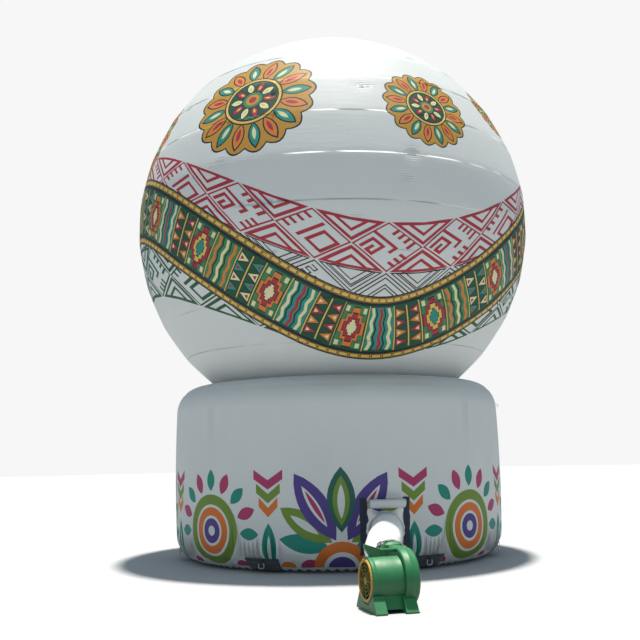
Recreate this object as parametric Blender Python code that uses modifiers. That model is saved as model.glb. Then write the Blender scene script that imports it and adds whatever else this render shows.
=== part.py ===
# Inflatable advertising sphere: a five metre balloon on a printed drum, kept up by a floor blower.
# Metres, +Z up, origin at the centre of the drum's floor, on the ground. -Y is the side with the air inlet.
import math

import bmesh
import bpy
from mathutils import Matrix, Vector

# Driving dimensions
FABRIC = 0.010
SEAM_GAP = 0.0003
SLEEVE_GAP = 0.0005
TURN_STEPS = 60
TURN_PHASE = math.radians(1.2)
STEP_ANGLE = 2 * math.pi / TURN_STEPS

DRUM_RADIUS = 2.015
DRUM_BULGE = 0.015
DRUM_HEIGHT = 2.10
DRUM_TOP_ROUND = 0.33
DRUM_BOTTOM_ROUND = 0.30
ROUND_FACETS = 4
WALL_ROWS = 4

SPHERE_RADIUS = 2.50
BAND_ANGLE = math.radians(12)
CAP_ANGLE = math.radians(11)
BAND_COUNT = 11
CAP_RISE = 0.02
NECK_ANGLE = CAP_ANGLE + BAND_COUNT * BAND_ANGLE
SPHERE_CENTRE_Z = DRUM_HEIGHT + SEAM_GAP - SPHERE_RADIUS * math.cos(NECK_ANGLE)
NECK_RADIUS = SPHERE_RADIUS * math.sin(NECK_ANGLE)
NECK_LAP = 0.015
NECK_TAPE = 0.035

# Air inlet, on the facet line nearest to its real place
INLET_AZIMUTH = TURN_PHASE + 2 * STEP_ANGLE
INLET_HEIGHT = 0.45
TUBE_WALL_RADIUS = 0.188
TUBE_BLOWER_RADIUS = 0.149
TUBE_SIDES = 24
TUBE_RUN_IN = 0.10
TUBE_RUN_OUT = 0.12
TUBE_OVERLAP_START = 0.256
TUBE_LEAVE = 0.35
TUBE_BEND_POINTS = 6
TUBE_BEND_PULL = 0.7
TUBE_FLARE_POWER = 4
STRIP_OUTER = 0.062
STRIP_INNER = 0.013
STRIP_THICK = 0.004
STRIP_LOW = 0.19
STRIP_HIGH = 0.78
FLAP_ROLL_RADIUS = 0.055
FLAP_ROLL_LENGTH = 0.39
FLAP_ROLL_EDGE = 0.015
FLAP_HEIGHT = 0.72
TIE_THICK = 0.002
TIE_WIDTH = 0.030

# Ground anchors, each on the middle of a facet, and tether tabs and the deflation zip on facet lines
ANCHOR_AZIMUTH_STEPS = (-4.5, 4.5, 12.5, 21.5, 29.5, 38.5, 46.5)
ANCHOR_LOW = 0.006
ANCHOR_HIGH = 0.157
ANCHOR_THICK = 0.005
ANCHOR_TAB_WIDTH = 0.040
ANCHOR_TAB_REACH = 0.016
ANCHOR_TAB_DEPTH = 0.018
ANCHOR_TAB_TOP = 0.151
ANCHOR_TAB_ROOT = 0.121
ANCHOR_TAB_FOOT = 0.097
ANCHOR_TAB_SLOPE = 0.008
RING_WIRE = 0.005
RING_WIRE_SIDES = 8
RING_WIDTH = 0.064
RING_DROP = 0.056
RING_CORNER = 0.010
RING_FOOT_CORNER = 0.016
RING_SEAT_CLEARANCE = 0.0008
TETHER_HEIGHT = 1.80
TETHER_AZIMUTH_STEPS = (14, 29, 44)
TETHER_PLATE_WIDTH = 0.09
TETHER_PLATE_HEIGHT = 0.13
TETHER_LOOP_REACH = 0.045
TETHER_LOOP_WIDTH = 0.038
TETHER_LOOP_HALF_RISE = 0.024
TETHER_LOOP_THICK = 0.005
TETHER_LOOP_ROOT = 0.003
TETHER_LOOP_STEPS = 8
ZIP_AZIMUTH_STEP = 30
ZIP_LOW = 0.50
ZIP_HIGH = 1.45
ZIP_WIDTH = 0.060
SLIDER_LOW = 1.37
SLIDER_HIGH = 1.41
SLIDER_WIDTH = 0.024
SLIDER_THICK = 0.012

# Blower, in its own frame: its shaft lies along X, the intake faces -X and the outlet +Y
BLOWER_PLACE = (0.33, -4.13)
BLOWER_TURN = math.radians(16)
BLOWER_SIDES = 36
AXIS_HEIGHT = 0.235
PLASTIC = 0.006

# Barrel and scroll
BARREL_RADIUS = 0.185
BARREL_FRONT = 0.195
BARREL_LIP = 0.014
EYE_RADIUS = 0.150
JOIN_X = 0.065
SCROLL_END = 0.19
SCROLL_START_RADIUS = 0.195
SCROLL_TOP_RADIUS = 0.245
SCROLL_START_ANGLE = math.radians(3)
SCROLL_SWEEP = math.radians(273)
SCROLL_FACETS = 30
OUTLET_Y = 0.20
OUTLET_HEIGHT = 0.225

# Base, with its arch and the hollows between its legs, and the handle on top
BASE_FRONT = -0.198
BASE_BACK = 0.155
BASE_OUTLINE = ((0.250, 0), (0.250, 0.012), (0.200, 0.085), (0.165, 0.135))
ARCH_FRONT = -0.105
ARCH_BACK = 0.050
ARCH_HEIGHT = 0.030
ARCH_CORNER = 0.020
HOLLOW_OUTLINE = ((0.205, -0.02), (0.40, -0.02), (0.40, 0.20), (0.150, 0.20), (0.150, 0.125), (0.205, 0))
CUTTER_REACH = 0.40
EAR_OUTLINE = ((-0.205, 0.522), (-0.205, 0.490), (-0.145, 0.400), (-0.080, 0.400), (-0.080, 0.480))
EAR_HALF_WIDTH = 0.0225
GRIP_LOW = (-0.020, 0.450)
GRIP_HIGH = (0.020, 0.478)
GRIP_ROUND = 0.008

# Intake ring and grille
INTAKE_RADIUS = 0.170
INTAKE_THICK = 0.012
INTAKE_CHAMFER = 0.006
GUARD_RADIUS = 0.1495
GUARD_BACK = 0.001
GUARD_FRONT = 0.005
GUARD_ARMS = 8
GUARD_BAR = 0.004
GUARD_RINGS = (0.028, 0.058, 0.088, 0.118, 0.146)

# Motor, its spider and the fan wheel, from the intake's side towards the back
MOTOR_RADIUS = 0.075
MOTOR_FRONT = 0.12
MOTOR_BACK = -0.05
MOTOR_EDGE = 0.010
SHAFT_RADIUS = 0.008
SHAFT_END = -0.160
SPIDER_FRONT = 0.06
SPIDER_BACK = 0.03
SPIDER_WALL = 0.008
ARM_FRONT = 0.055
ARM_BACK = 0.035
ARM_HALF_WIDTH = 0.006
WHEEL_RADIUS = 0.165
WHEEL_FRONT = -0.078
WHEEL_BACK = -0.172
WHEEL_DISC = 0.007
WHEEL_RIM = 0.025
WHEEL_END_RING = 0.013
WHEEL_SLOTS = 16
WHEEL_SLOT_WIDTH = 0.026
WHEEL_SLOT_LEAN = math.radians(25)
HUB_RADIUS = 0.030
HUB_FRONT = -0.115
SHAFT_CLEARANCE = 0.0006

# Outlet duct, the strap round the tube on it, and the buckle
DUCT_RADIUS = TUBE_BLOWER_RADIUS - FABRIC / math.cos(math.pi / TUBE_SIDES) - SLEEVE_GAP
DUCT_WALL = 0.005
DUCT_LIP = 0.010
DUCT_ROUND_Y = 0.25
DUCT_END_Y = 0.33
STRAP_Y = 0.30
STRAP_HALF_WIDTH = 0.019
STRAP_WALL = 0.004
BUCKLE_LEAN = math.radians(-37.5)
BUCKLE_HALF_LENGTH = 0.022
BUCKLE_HALF_WIDTH = 0.024
BUCKLE_THICK = 0.008

# Switch box and cable gland
SWITCH_LOW = (-0.11, 0.15, 0.20)
SWITCH_HIGH = (-0.02, 0.236, 0.30)
GLAND_PLACE = (-0.065, 0.218)
GLAND_RADIUS = 0.011
GLAND_LOW = 0.168

scene = bpy.context.scene
for old in list(bpy.data.objects):
    bpy.data.objects.remove(old, do_unlink=True)
parts = bpy.data.collections.new("inflatable_advertising_sphere")
cutters = bpy.data.collections.new("cutters")
scene.collection.children.link(parts)
scene.collection.children.link(cutters)


def material(name, colour, roughness, metallic=0.0):
    """A plain Principled finish."""
    mat = bpy.data.materials.new(name)
    mat.use_nodes = True
    shader = mat.node_tree.nodes["Principled BSDF"]
    shader.inputs["Base Color"].default_value = (*colour, 1.0)
    shader.inputs["Roughness"].default_value = roughness
    shader.inputs["Metallic"].default_value = metallic
    return mat


WHITE_FABRIC = material("white_coated_fabric", (0.72, 0.74, 0.78), 0.55)
FLOOR_FABRIC = material("grey_floor_fabric", (0.35, 0.36, 0.38), 0.7)
NAVY_WEBBING = material("navy_webbing", (0.012, 0.02, 0.035), 0.85)
WHITE_TAPE = material("white_tape", (0.66, 0.67, 0.69), 0.8)
STEEL = material("plated_steel", (0.55, 0.56, 0.57), 0.35, 1.0)
GREEN_PLASTIC = material("green_moulded_plastic", (0.012, 0.26, 0.075), 0.4)
YELLOW_PLASTIC = material("yellow_ring_plastic", (0.56, 0.35, 0.03), 0.4)
GUARD_WIRE = material("yellow_coated_wire", (0.22, 0.16, 0.02), 0.5)
DARK_METAL = material("dark_motor_metal", (0.05, 0.05, 0.055), 0.5, 0.8)
BLACK_PLASTIC = material("black_plastic", (0.015, 0.015, 0.016), 0.5)


def mesh_object(name, bm, mat, collection=None, smooth=True):
    """Store a bmesh as a named object."""
    mesh = bpy.data.meshes.new(name)
    bm.to_mesh(mesh)
    bm.free()
    obj = bpy.data.objects.new(name, mesh)
    (collection or parts).objects.link(obj)
    if mat:
        mesh.materials.append(mat)
    if smooth:
        mesh.shade_smooth()
        mesh.set_sharp_from_angle(angle=math.radians(35))
    return obj


def cutter(name, bm):
    """A hidden shape that is only cut with."""
    obj = mesh_object(name, bm, None, cutters, smooth=False)
    obj.hide_render = True
    obj.display_type = "WIRE"
    return obj


def cut(obj, tool, operation="DIFFERENCE"):
    """Cut or join one closed mesh with another."""
    mod = obj.modifiers.new(operation.lower(), "BOOLEAN")
    mod.operation = operation
    mod.solver = "EXACT"
    mod.object = tool
    return mod


def screw(obj, steps=TURN_STEPS):
    """Turn a profile that lies in the XZ plane about Z."""
    mod = obj.modifiers.new("turn", "SCREW")
    mod.steps = steps
    mod.render_steps = steps
    mod.angle = 2 * math.pi
    mod.use_merge_vertices = True
    mod.merge_threshold = 0.0001
    mod.use_smooth_shade = True
    return mod


def solidify(obj, thickness, offset=-1.0):
    """Give an open sheet its thickness."""
    mod = obj.modifiers.new("shell", "SOLIDIFY")
    mod.thickness = thickness
    mod.offset = offset
    mod.use_even_offset = True
    return mod


def turned(name, profile, mat, closed=False, steps=TURN_STEPS, collection=None):
    """A turned shape from its (radius, height) profile, which runs down the outer side."""
    bm = bmesh.new()
    verts = [bm.verts.new((r, 0, z)) for r, z in profile]
    for a, b in zip(verts, verts[1:]):
        bm.edges.new((a, b))
    if closed:
        bm.edges.new((verts[-1], verts[0]))
    obj = mesh_object(name, bm, mat, collection, smooth=False)
    screw(obj, steps)
    return obj


def box_mesh(low, high):
    """A box between two corners."""
    size = Vector(high) - Vector(low)
    middle = (Vector(high) + Vector(low)) / 2
    bm = bmesh.new()
    bmesh.ops.create_cube(bm, size=1.0, matrix=Matrix.Translation(middle) @ Matrix.Diagonal((*size, 1)))
    return bm


def rod_mesh(radius, low, high, sides=24, axis="Z"):
    """A closed cylinder along one axis, from low to high on it."""
    bm = bmesh.new()
    bmesh.ops.create_cone(
        bm, cap_ends=True, segments=sides, radius1=radius, radius2=radius, depth=high - low
    )
    bmesh.ops.translate(bm, vec=(0, 0, (low + high) / 2), verts=bm.verts)
    if axis == "X":
        bmesh.ops.rotate(bm, matrix=Matrix.Rotation(math.pi / 2, 3, "Y"), verts=bm.verts)
    if axis == "Y":
        bmesh.ops.rotate(bm, matrix=Matrix.Rotation(-math.pi / 2, 3, "X"), verts=bm.verts)
    return bm


def prism_mesh(outline, low, high, axis="X"):
    """A closed prism: a flat outline pushed from low to high along one axis."""
    bm = bmesh.new()
    if axis == "X":
        ring = [bm.verts.new((low, u, v)) for u, v in outline]
        push = (high - low, 0, 0)
    elif axis == "Y":
        ring = [bm.verts.new((u, low, v)) for u, v in outline]
        push = (0, high - low, 0)
    else:
        ring = [bm.verts.new((u, v, low)) for u, v in outline]
        push = (0, 0, high - low)
    face = bm.faces.new(ring)
    grown = bmesh.ops.extrude_face_region(bm, geom=[face])
    moved = [g for g in grown["geom"] if isinstance(g, bmesh.types.BMVert)]
    bmesh.ops.translate(bm, vec=push, verts=moved)
    bmesh.ops.recalc_face_normals(bm, faces=bm.faces)
    return bm


# Envelope profiles
def drum_profile():
    """The drum wall's outer line, from its top seam down to its floor seam."""
    points = []
    for i in range(ROUND_FACETS + 1):
        a = math.pi / 2 * (1 - i / ROUND_FACETS)
        points.append((
            DRUM_RADIUS - DRUM_TOP_ROUND + DRUM_TOP_ROUND * math.cos(a),
            DRUM_HEIGHT - DRUM_TOP_ROUND + DRUM_TOP_ROUND * math.sin(a),
        ))
    high = DRUM_HEIGHT - DRUM_TOP_ROUND
    for i in range(1, WALL_ROWS):
        s = i / WALL_ROWS
        points.append((DRUM_RADIUS + DRUM_BULGE * 4 * s * (1 - s), high + (DRUM_BOTTOM_ROUND - high) * s))
    for i in range(ROUND_FACETS + 1):
        a = math.pi / 2 * i / ROUND_FACETS
        points.append((
            DRUM_RADIUS - DRUM_BOTTOM_ROUND + DRUM_BOTTOM_ROUND * math.cos(a),
            DRUM_BOTTOM_ROUND - DRUM_BOTTOM_ROUND * math.sin(a),
        ))
    return points


DRUM_PROFILE = drum_profile()
# A seam's inner edge leans in by this much where the last facet of a round ends
RIM_LEAN = FABRIC * math.sin(math.pi / 4 / ROUND_FACETS)


def wall_radius(height):
    """Radius of the drum wall, along a facet line, at a height."""
    for (r1, z1), (r2, z2) in zip(DRUM_PROFILE, DRUM_PROFILE[1:]):
        if z2 <= height <= z1:
            return r1 + (r2 - r1) * (z1 - height) / (z1 - z2)
    return DRUM_RADIUS


def azimuth_frame(angle):
    """Turns local X outward from the drum's axis. The angle is counted from -Y towards +X."""
    return Matrix.Rotation(angle - math.pi / 2, 4, "Z")


def sphere_point(polar):
    return SPHERE_RADIUS * math.sin(polar), SPHERE_CENTRE_Z + SPHERE_RADIUS * math.cos(polar)


def build_envelope():
    """Sphere, its cap, the neck seam, and the drum's wall, top and floor."""
    phase = Matrix.Rotation(TURN_PHASE, 4, "Z")
    bands = [sphere_point(CAP_ANGLE + i * BAND_ANGLE) for i in range(BAND_COUNT + 1)]
    sphere = turned("sphere_envelope", bands, WHITE_FABRIC)
    solidify(sphere, FABRIC)

    first_normal = CAP_ANGLE + BAND_ANGLE / 2
    cap_radius = bands[0][0] - FABRIC * math.sin(first_normal) - SEAM_GAP
    cap = turned("sphere_top_cap", [
        (0, bands[0][1] + CAP_RISE),
        (cap_radius / 2, bands[0][1] + CAP_RISE * 0.75),
        (cap_radius, bands[0][1]),
    ], WHITE_FABRIC)
    solidify(cap, FABRIC)

    slope = (bands[-2][1] - bands[-1][1]) / (bands[-2][0] - bands[-1][0])
    low = DRUM_HEIGHT + 2 * SEAM_GAP
    lip = NECK_RADIUS + NECK_TAPE * 0.7
    tape = turned("neck_seam_tape", [
        (lip, low + (lip - NECK_RADIUS) * slope - 2 * SEAM_GAP),
        (NECK_RADIUS + NECK_TAPE, low),
        (NECK_RADIUS + 2 * SEAM_GAP / slope, low),
    ], WHITE_TAPE, closed=True)

    top_outer = DRUM_PROFILE[0][0] - RIM_LEAN - SEAM_GAP
    top = turned("drum_top_panel", [
        (NECK_RADIUS - NECK_LAP, DRUM_HEIGHT), (top_outer, DRUM_HEIGHT),
    ], WHITE_FABRIC)
    solidify(top, FABRIC)

    wall = turned("drum_wall", DRUM_PROFILE, WHITE_FABRIC)
    solidify(wall, FABRIC)

    floor_radius = DRUM_PROFILE[-1][0] - RIM_LEAN - SEAM_GAP
    floor = turned("drum_floor_panel", [(floor_radius, 0), (floor_radius / 2, 0), (0, 0)], FLOOR_FABRIC)
    solidify(floor, FABRIC)

    for obj in (sphere, cap, tape, top, wall, floor):
        obj.matrix_world = phase

    hole = cutter("inlet_hole", rod_mesh(TUBE_WALL_RADIUS + SLEEVE_GAP, 1.6, 2.4, TUBE_SIDES, "Y"))
    hole.matrix_world = Matrix.Translation((inlet_place().x, 0, INLET_HEIGHT))
    hole.matrix_world @= Matrix.Rotation(math.pi, 4, "Z")
    cut(wall, hole)


def inlet_place():
    """Where the tube's axis meets the drum wall."""
    r = wall_radius(INLET_HEIGHT)
    return Vector((r * math.sin(INLET_AZIMUTH), -r * math.cos(INLET_AZIMUTH), INLET_HEIGHT))


def over_line(radius, sides):
    """A strip's bends over one facet line, in (out, sideways), with its reach to either side of the line."""
    half = STEP_ANGLE / 2
    return [(radius - abs(w) * math.sin(half), w * math.cos(half)) for w in (-sides[0], 0, sides[1])]


def over_facet(radius, reach):
    """A strip's bends over the two lines beside one facet, in (out, sideways), as far as its reach."""
    half = STEP_ANGLE / 2
    edge = (radius * math.cos(half), radius * math.sin(half))
    beyond = reach - edge[1]
    end = (edge[0] - beyond * math.sin(2 * half), edge[1] + beyond * math.cos(2 * half))
    return [(end[0], -end[1]), (edge[0], -edge[1]), edge, end]


def wall_ribbon(name, bends, sides, low, high, thickness, mat):
    """A flat strip on the wall, bent over the wall's facets as bends(radius, sides) says."""
    margin = 5 * SLEEVE_GAP
    heights = [low] + sorted(z for _, z in DRUM_PROFILE if low + margin < z < high - margin) + [high]
    bm = bmesh.new()
    rows = []
    for z in heights:
        rows.append([bm.verts.new((x, y, z)) for x, y in bends(wall_radius(z), sides)])
    for lower, upper in zip(rows, rows[1:]):
        for i in range(len(lower) - 1):
            bm.faces.new((lower[i], lower[i + 1], upper[i + 1], upper[i]))
    obj = mesh_object(name, bm, mat)
    solidify(obj, thickness, 1 + 2 * SEAM_GAP / thickness)
    return obj


def put(obj, azimuth):
    """Move a piece made on the +X side of the drum to its azimuth."""
    obj.matrix_world = azimuth_frame(azimuth)
    return obj


def baked(obj):
    """A new mesh with the object's modifiers applied, for pieces that are joined or shared."""
    bpy.context.view_layer.update()
    evaluated = obj.evaluated_get(bpy.context.evaluated_depsgraph_get())
    mesh = bpy.data.meshes.new_from_object(evaluated)
    bm = bmesh.new()
    bm.from_mesh(mesh)
    bmesh.ops.remove_doubles(bm, verts=bm.verts, dist=0.00001)
    bm.to_mesh(mesh)
    bm.free()
    return mesh


def curve_object(name, points, depth, mat, sides_resolution, closed=False, caps=True, radii=None):
    """A round tube along a polyline."""
    curve = bpy.data.curves.new(name, "CURVE")
    curve.dimensions = "3D"
    curve.twist_mode = "Z_UP"
    curve.bevel_depth = depth
    curve.bevel_resolution = sides_resolution
    curve.use_fill_caps = caps
    curve.resolution_u = 1
    curve.render_resolution_u = 0
    spline = curve.splines.new("POLY")
    spline.points.add(len(points) - 1)
    for i, p in enumerate(points):
        spline.points[i].co = (*p, 1)
        spline.points[i].radius = radii[i] if radii else 1.0
    spline.use_cyclic_u = closed
    obj = bpy.data.objects.new(name, curve)
    parts.objects.link(obj)
    if mat:
        curve.materials.append(mat)
    return obj


def meshed(obj):
    """Swap a curve object for the mesh it makes."""
    mesh = baked(obj)
    name = obj.name
    place = obj.matrix_world.copy()
    bpy.data.objects.remove(obj, do_unlink=True)
    new = bpy.data.objects.new(name, mesh)
    parts.objects.link(new)
    new.matrix_world = place
    mesh.shade_smooth()
    mesh.set_sharp_from_angle(angle=math.radians(35))
    return new


def anchor_tab_outline():
    """The sewn tab's outline in (radius, height), and its outer face's radius."""
    middle = SEAM_GAP + ANCHOR_THICK / 2
    facet = math.cos(STEP_ANGLE / 2)
    face = wall_radius(ANCHOR_TAB_TOP) * facet + ANCHOR_TAB_REACH
    outline = [
        (wall_radius(ANCHOR_TAB_TOP) * facet + middle, ANCHOR_TAB_TOP),
        (wall_radius(ANCHOR_TAB_ROOT) * facet + middle, ANCHOR_TAB_ROOT),
        (face - ANCHOR_TAB_DEPTH, ANCHOR_TAB_FOOT),
        (face, ANCHOR_TAB_FOOT),
        (face, ANCHOR_TAB_TOP - ANCHOR_TAB_SLOPE),
    ]
    return outline, face


def anchor_ring_line(bar):
    """The steel ring's middle line in (sideways, height), from its bar down."""
    side = RING_WIDTH / 2
    low = bar[1] - RING_DROP
    return [
        (-side + RING_CORNER, bar[1]), (side - RING_CORNER, bar[1]), (side, bar[1] - RING_CORNER),
        (side, low + RING_FOOT_CORNER), (side - RING_FOOT_CORNER, low), (-side + RING_FOOT_CORNER, low),
        (-side, low + RING_FOOT_CORNER), (-side, bar[1] - RING_CORNER),
    ]


def anchor_ring_mesh(bar):
    """The ring's wire along its middle line, mitred at each corner so that all its faces are flat."""
    line = [Vector(p) for p in anchor_ring_line(bar)]
    count = len(line)
    runs = [(line[(i + 1) % count] - line[i]).normalized() for i in range(count)]
    sideways = [Vector((-run.y, run.x)) for run in runs]
    bm = bmesh.new()
    sections = []
    for i in range(count):
        before = sideways[i - 1]
        after = sideways[i]
        mitre = (before + after) / (1 + before.dot(after))
        section = []
        for k in range(RING_WIRE_SIDES):
            a = 2 * math.pi * (k + 0.5) / RING_WIRE_SIDES
            place = line[i] + mitre * RING_WIRE * math.cos(a)
            section.append(bm.verts.new((bar[0] + RING_WIRE * math.sin(a), place.x, place.y)))
        sections.append(section)
    for i in range(count):
        near = sections[i]
        far = sections[(i + 1) % count]
        for k in range(RING_WIRE_SIDES):
            j = (k + 1) % RING_WIRE_SIDES
            bm.faces.new((near[k], near[j], far[j], far[k]))
    bmesh.ops.recalc_face_normals(bm, faces=bm.faces)
    mesh = bpy.data.meshes.new("anchor_ring")
    bm.to_mesh(mesh)
    bm.free()
    mesh.materials.append(STEEL)
    return mesh


def build_anchors():
    """Webbing patches on the bottom round, each with a sewn tab and a steel ring in it."""
    half_width = 2 * wall_radius(ANCHOR_HIGH) * math.sin(STEP_ANGLE / 2)
    tab_outline, face = anchor_tab_outline()
    bar = (face - ANCHOR_TAB_DEPTH / 2, ANCHOR_TAB_FOOT + RING_CORNER)

    patch = wall_ribbon("anchor_patch", over_facet, half_width, ANCHOR_LOW, ANCHOR_HIGH, ANCHOR_THICK,
                        NAVY_WEBBING)
    tab = prism_mesh(tab_outline, -ANCHOR_TAB_WIDTH / 2, ANCHOR_TAB_WIDTH / 2)
    swap_xy = Matrix(((0, 1, 0, 0), (1, 0, 0, 0), (0, 0, 1, 0), (0, 0, 0, 1)))
    bmesh.ops.transform(tab, matrix=swap_xy, verts=tab.verts)
    bmesh.ops.reverse_faces(tab, faces=tab.faces)
    cut(patch, cutter("anchor_tab", tab), "UNION")
    bore = rod_mesh(RING_WIRE + RING_SEAT_CLEARANCE, -ANCHOR_TAB_WIDTH, ANCHOR_TAB_WIDTH, 12, "Y")
    bmesh.ops.translate(bore, vec=(bar[0], 0, bar[1]), verts=bore.verts)
    cut(patch, cutter("anchor_bore", bore))
    patch_mesh = baked(patch)
    bpy.data.objects.remove(patch, do_unlink=True)

    ring_mesh = anchor_ring_mesh(bar)
    for i, steps in enumerate(ANCHOR_AZIMUTH_STEPS):
        for name, mesh in (("anchor_patch", patch_mesh), ("anchor_ring", ring_mesh)):
            obj = bpy.data.objects.new(f"{name}_{i + 1}", mesh)
            parts.objects.link(obj)
            put(obj, TURN_PHASE + steps * STEP_ANGLE)


def half_ring(reach, half_rise):
    """Half of an oval that stands out from the tether plate, in (out, up)."""
    turns = [i / TETHER_LOOP_STEPS * math.pi for i in range(TETHER_LOOP_STEPS + 1)]
    return [(TETHER_LOOP_ROOT + reach * math.sin(a), half_rise * math.cos(a)) for a in turns]


def build_tethers():
    """Webbing plates high on the drum, each with a standing loop for a guy line."""
    low = TETHER_HEIGHT - TETHER_PLATE_HEIGHT / 2
    high = TETHER_HEIGHT + TETHER_PLATE_HEIGHT / 2
    half_plate = TETHER_PLATE_WIDTH / 2
    plate = wall_ribbon("tether_plate", over_line, (half_plate, half_plate), low, high, STRIP_THICK,
                        WHITE_TAPE)
    outer = half_ring(TETHER_LOOP_REACH, TETHER_LOOP_HALF_RISE)
    inner = half_ring(TETHER_LOOP_REACH - TETHER_LOOP_THICK, TETHER_LOOP_HALF_RISE - TETHER_LOOP_THICK)
    loop = prism_mesh(outer + inner[::-1], -TETHER_LOOP_WIDTH / 2, TETHER_LOOP_WIDTH / 2, "Z")
    slope = math.pi / 4 / ROUND_FACETS
    stand = Matrix.Translation((wall_radius(TETHER_HEIGHT), 0, TETHER_HEIGHT))
    bmesh.ops.transform(loop, matrix=stand @ Matrix.Rotation(-slope, 4, "Y"), verts=loop.verts)
    cut(plate, cutter("tether_loop", loop), "UNION")
    mesh = baked(plate)
    bpy.data.objects.remove(plate, do_unlink=True)
    for i, steps in enumerate(TETHER_AZIMUTH_STEPS):
        obj = bpy.data.objects.new(f"tether_tab_{i + 1}", mesh)
        parts.objects.link(obj)
        put(obj, TURN_PHASE + steps * STEP_ANGLE)


def build_zip():
    """The deflation zip up the drum's back."""
    azimuth = TURN_PHASE + ZIP_AZIMUTH_STEP * STEP_ANGLE
    half = ZIP_WIDTH / 2
    tape = wall_ribbon("deflation_zip", over_line, (half, half), ZIP_LOW, ZIP_HIGH, STRIP_THICK, NAVY_WEBBING)
    put(tape, azimuth)
    near = wall_radius(SLIDER_LOW) + STRIP_THICK + 2 * SEAM_GAP
    side = SLIDER_WIDTH / 2
    body = box_mesh((near, -side, SLIDER_LOW), (near + SLIDER_THICK, side, SLIDER_HIGH))
    put(mesh_object("zip_slider", body, STEEL), azimuth)


def build_inlet():
    """Fastener strips, the rolled flap and its tie round the air inlet."""
    for side, step, reach in (
        ("left", 1, (STRIP_OUTER, STRIP_INNER)),
        ("right", 3, (STRIP_INNER, STRIP_OUTER)),
    ):
        name = f"fastener_strip_{side}"
        strip = wall_ribbon(name, over_line, reach, STRIP_LOW, STRIP_HIGH, STRIP_THICK, NAVY_WEBBING)
        put(strip, TURN_PHASE + step * STEP_ANGLE)
    r = wall_radius(FLAP_HEIGHT) + FLAP_ROLL_RADIUS + TIE_THICK + 3 * SEAM_GAP
    half = FLAP_ROLL_LENGTH / 2
    end_radius = FLAP_ROLL_RADIUS - FLAP_ROLL_EDGE
    roll = turned("rolled_flap", [
        (0, half), (end_radius, half), (FLAP_ROLL_RADIUS, half - FLAP_ROLL_EDGE),
        (FLAP_ROLL_RADIUS, -half + FLAP_ROLL_EDGE), (end_radius, -half), (0, -half),
    ], WHITE_FABRIC, steps=TUBE_SIDES)
    inner = FLAP_ROLL_RADIUS + SEAM_GAP
    outer = inner + TIE_THICK
    tie = turned("flap_tie", [
        (outer, TIE_WIDTH / 2), (outer, -TIE_WIDTH / 2), (inner, -TIE_WIDTH / 2), (inner, TIE_WIDTH / 2),
    ], WHITE_TAPE, closed=True, steps=TUBE_SIDES)
    lie = Matrix.Translation((r, 0, FLAP_HEIGHT)) @ Matrix.Rotation(math.pi / 2, 4, "X")
    for obj in (roll, tie):
        obj.matrix_world = azimuth_frame(INLET_AZIMUTH) @ lie


# Blower
def blower_frame():
    frame = bpy.data.objects.new("blower_frame", None)
    parts.objects.link(frame)
    frame.location = (*BLOWER_PLACE, 0)
    frame.rotation_euler = (0, 0, BLOWER_TURN)
    return frame


def blower_to_world(point):
    """A point of the blower's own frame, in the world."""
    turn = Matrix.Rotation(BLOWER_TURN, 4, "Z")
    return Matrix.Translation((*BLOWER_PLACE, 0)) @ turn @ Vector(point)


def on_axis(obj, frame):
    """Lay a turned blower piece on the shaft's axis, its +Z towards the intake."""
    obj.parent = frame
    obj.location = (0, 0, AXIS_HEIGHT)
    obj.rotation_euler = (0, -math.pi / 2, 0)
    return obj


def scroll_outline(grow=0.0):
    """The scroll's outline in (y, z), grown outward by a little where it is a cutter."""
    points = []
    for i in range(SCROLL_FACETS + 1):
        s = i / SCROLL_FACETS
        a = SCROLL_START_ANGLE - SCROLL_SWEEP * s
        r = SCROLL_START_RADIUS + (SCROLL_TOP_RADIUS - SCROLL_START_RADIUS) * s + grow
        points.append((r * math.cos(a), AXIS_HEIGHT + r * math.sin(a)))
    top = AXIS_HEIGHT + SCROLL_TOP_RADIUS + grow
    points.append((OUTLET_Y + grow, top))
    points.append((OUTLET_Y + grow, top - OUTLET_HEIGHT - 2 * grow))
    return points


def build_barrel(frame):
    """The round front of the housing, open at the intake."""
    barrel = turned("blower_barrel", [
        (EYE_RADIUS, BARREL_FRONT), (BARREL_RADIUS - BARREL_LIP, BARREL_FRONT),
        (BARREL_RADIUS - BARREL_LIP * 0.3, BARREL_FRONT - BARREL_LIP * 0.3),
        (BARREL_RADIUS, BARREL_FRONT - BARREL_LIP), (BARREL_RADIUS, -JOIN_X + SEAM_GAP),
    ], GREEN_PLASTIC, steps=BLOWER_SIDES)
    solidify(barrel, PLASTIC)
    on_axis(barrel, frame)


def build_scroll(frame):
    """The snail-shaped back of the housing, hollow, with its eye and its square mouth."""
    scroll = mesh_object("blower_scroll", prism_mesh(scroll_outline(), JOIN_X, SCROLL_END), GREEN_PLASTIC)
    scroll.parent = frame
    inside = prism_mesh(scroll_outline(-PLASTIC), JOIN_X + PLASTIC, SCROLL_END - PLASTIC)
    mouth_top = AXIS_HEIGHT + SCROLL_TOP_RADIUS - PLASTIC
    mouth_mesh = box_mesh(
        (JOIN_X + PLASTIC, OUTLET_Y - JOIN_X, mouth_top - OUTLET_HEIGHT + 2 * PLASTIC),
        (SCROLL_END - PLASTIC, OUTLET_Y + JOIN_X, mouth_top))
    eye_mesh = rod_mesh(EYE_RADIUS, 0, 2 * JOIN_X, BLOWER_SIDES, "X")
    bmesh.ops.translate(eye_mesh, vec=(0, 0, AXIS_HEIGHT), verts=eye_mesh.verts)
    for name, mesh in (("scroll_hollow", inside), ("scroll_mouth", mouth_mesh), ("scroll_eye", eye_mesh)):
        tool = cutter(name, mesh)
        tool.parent = frame
        cut(scroll, tool)


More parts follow.
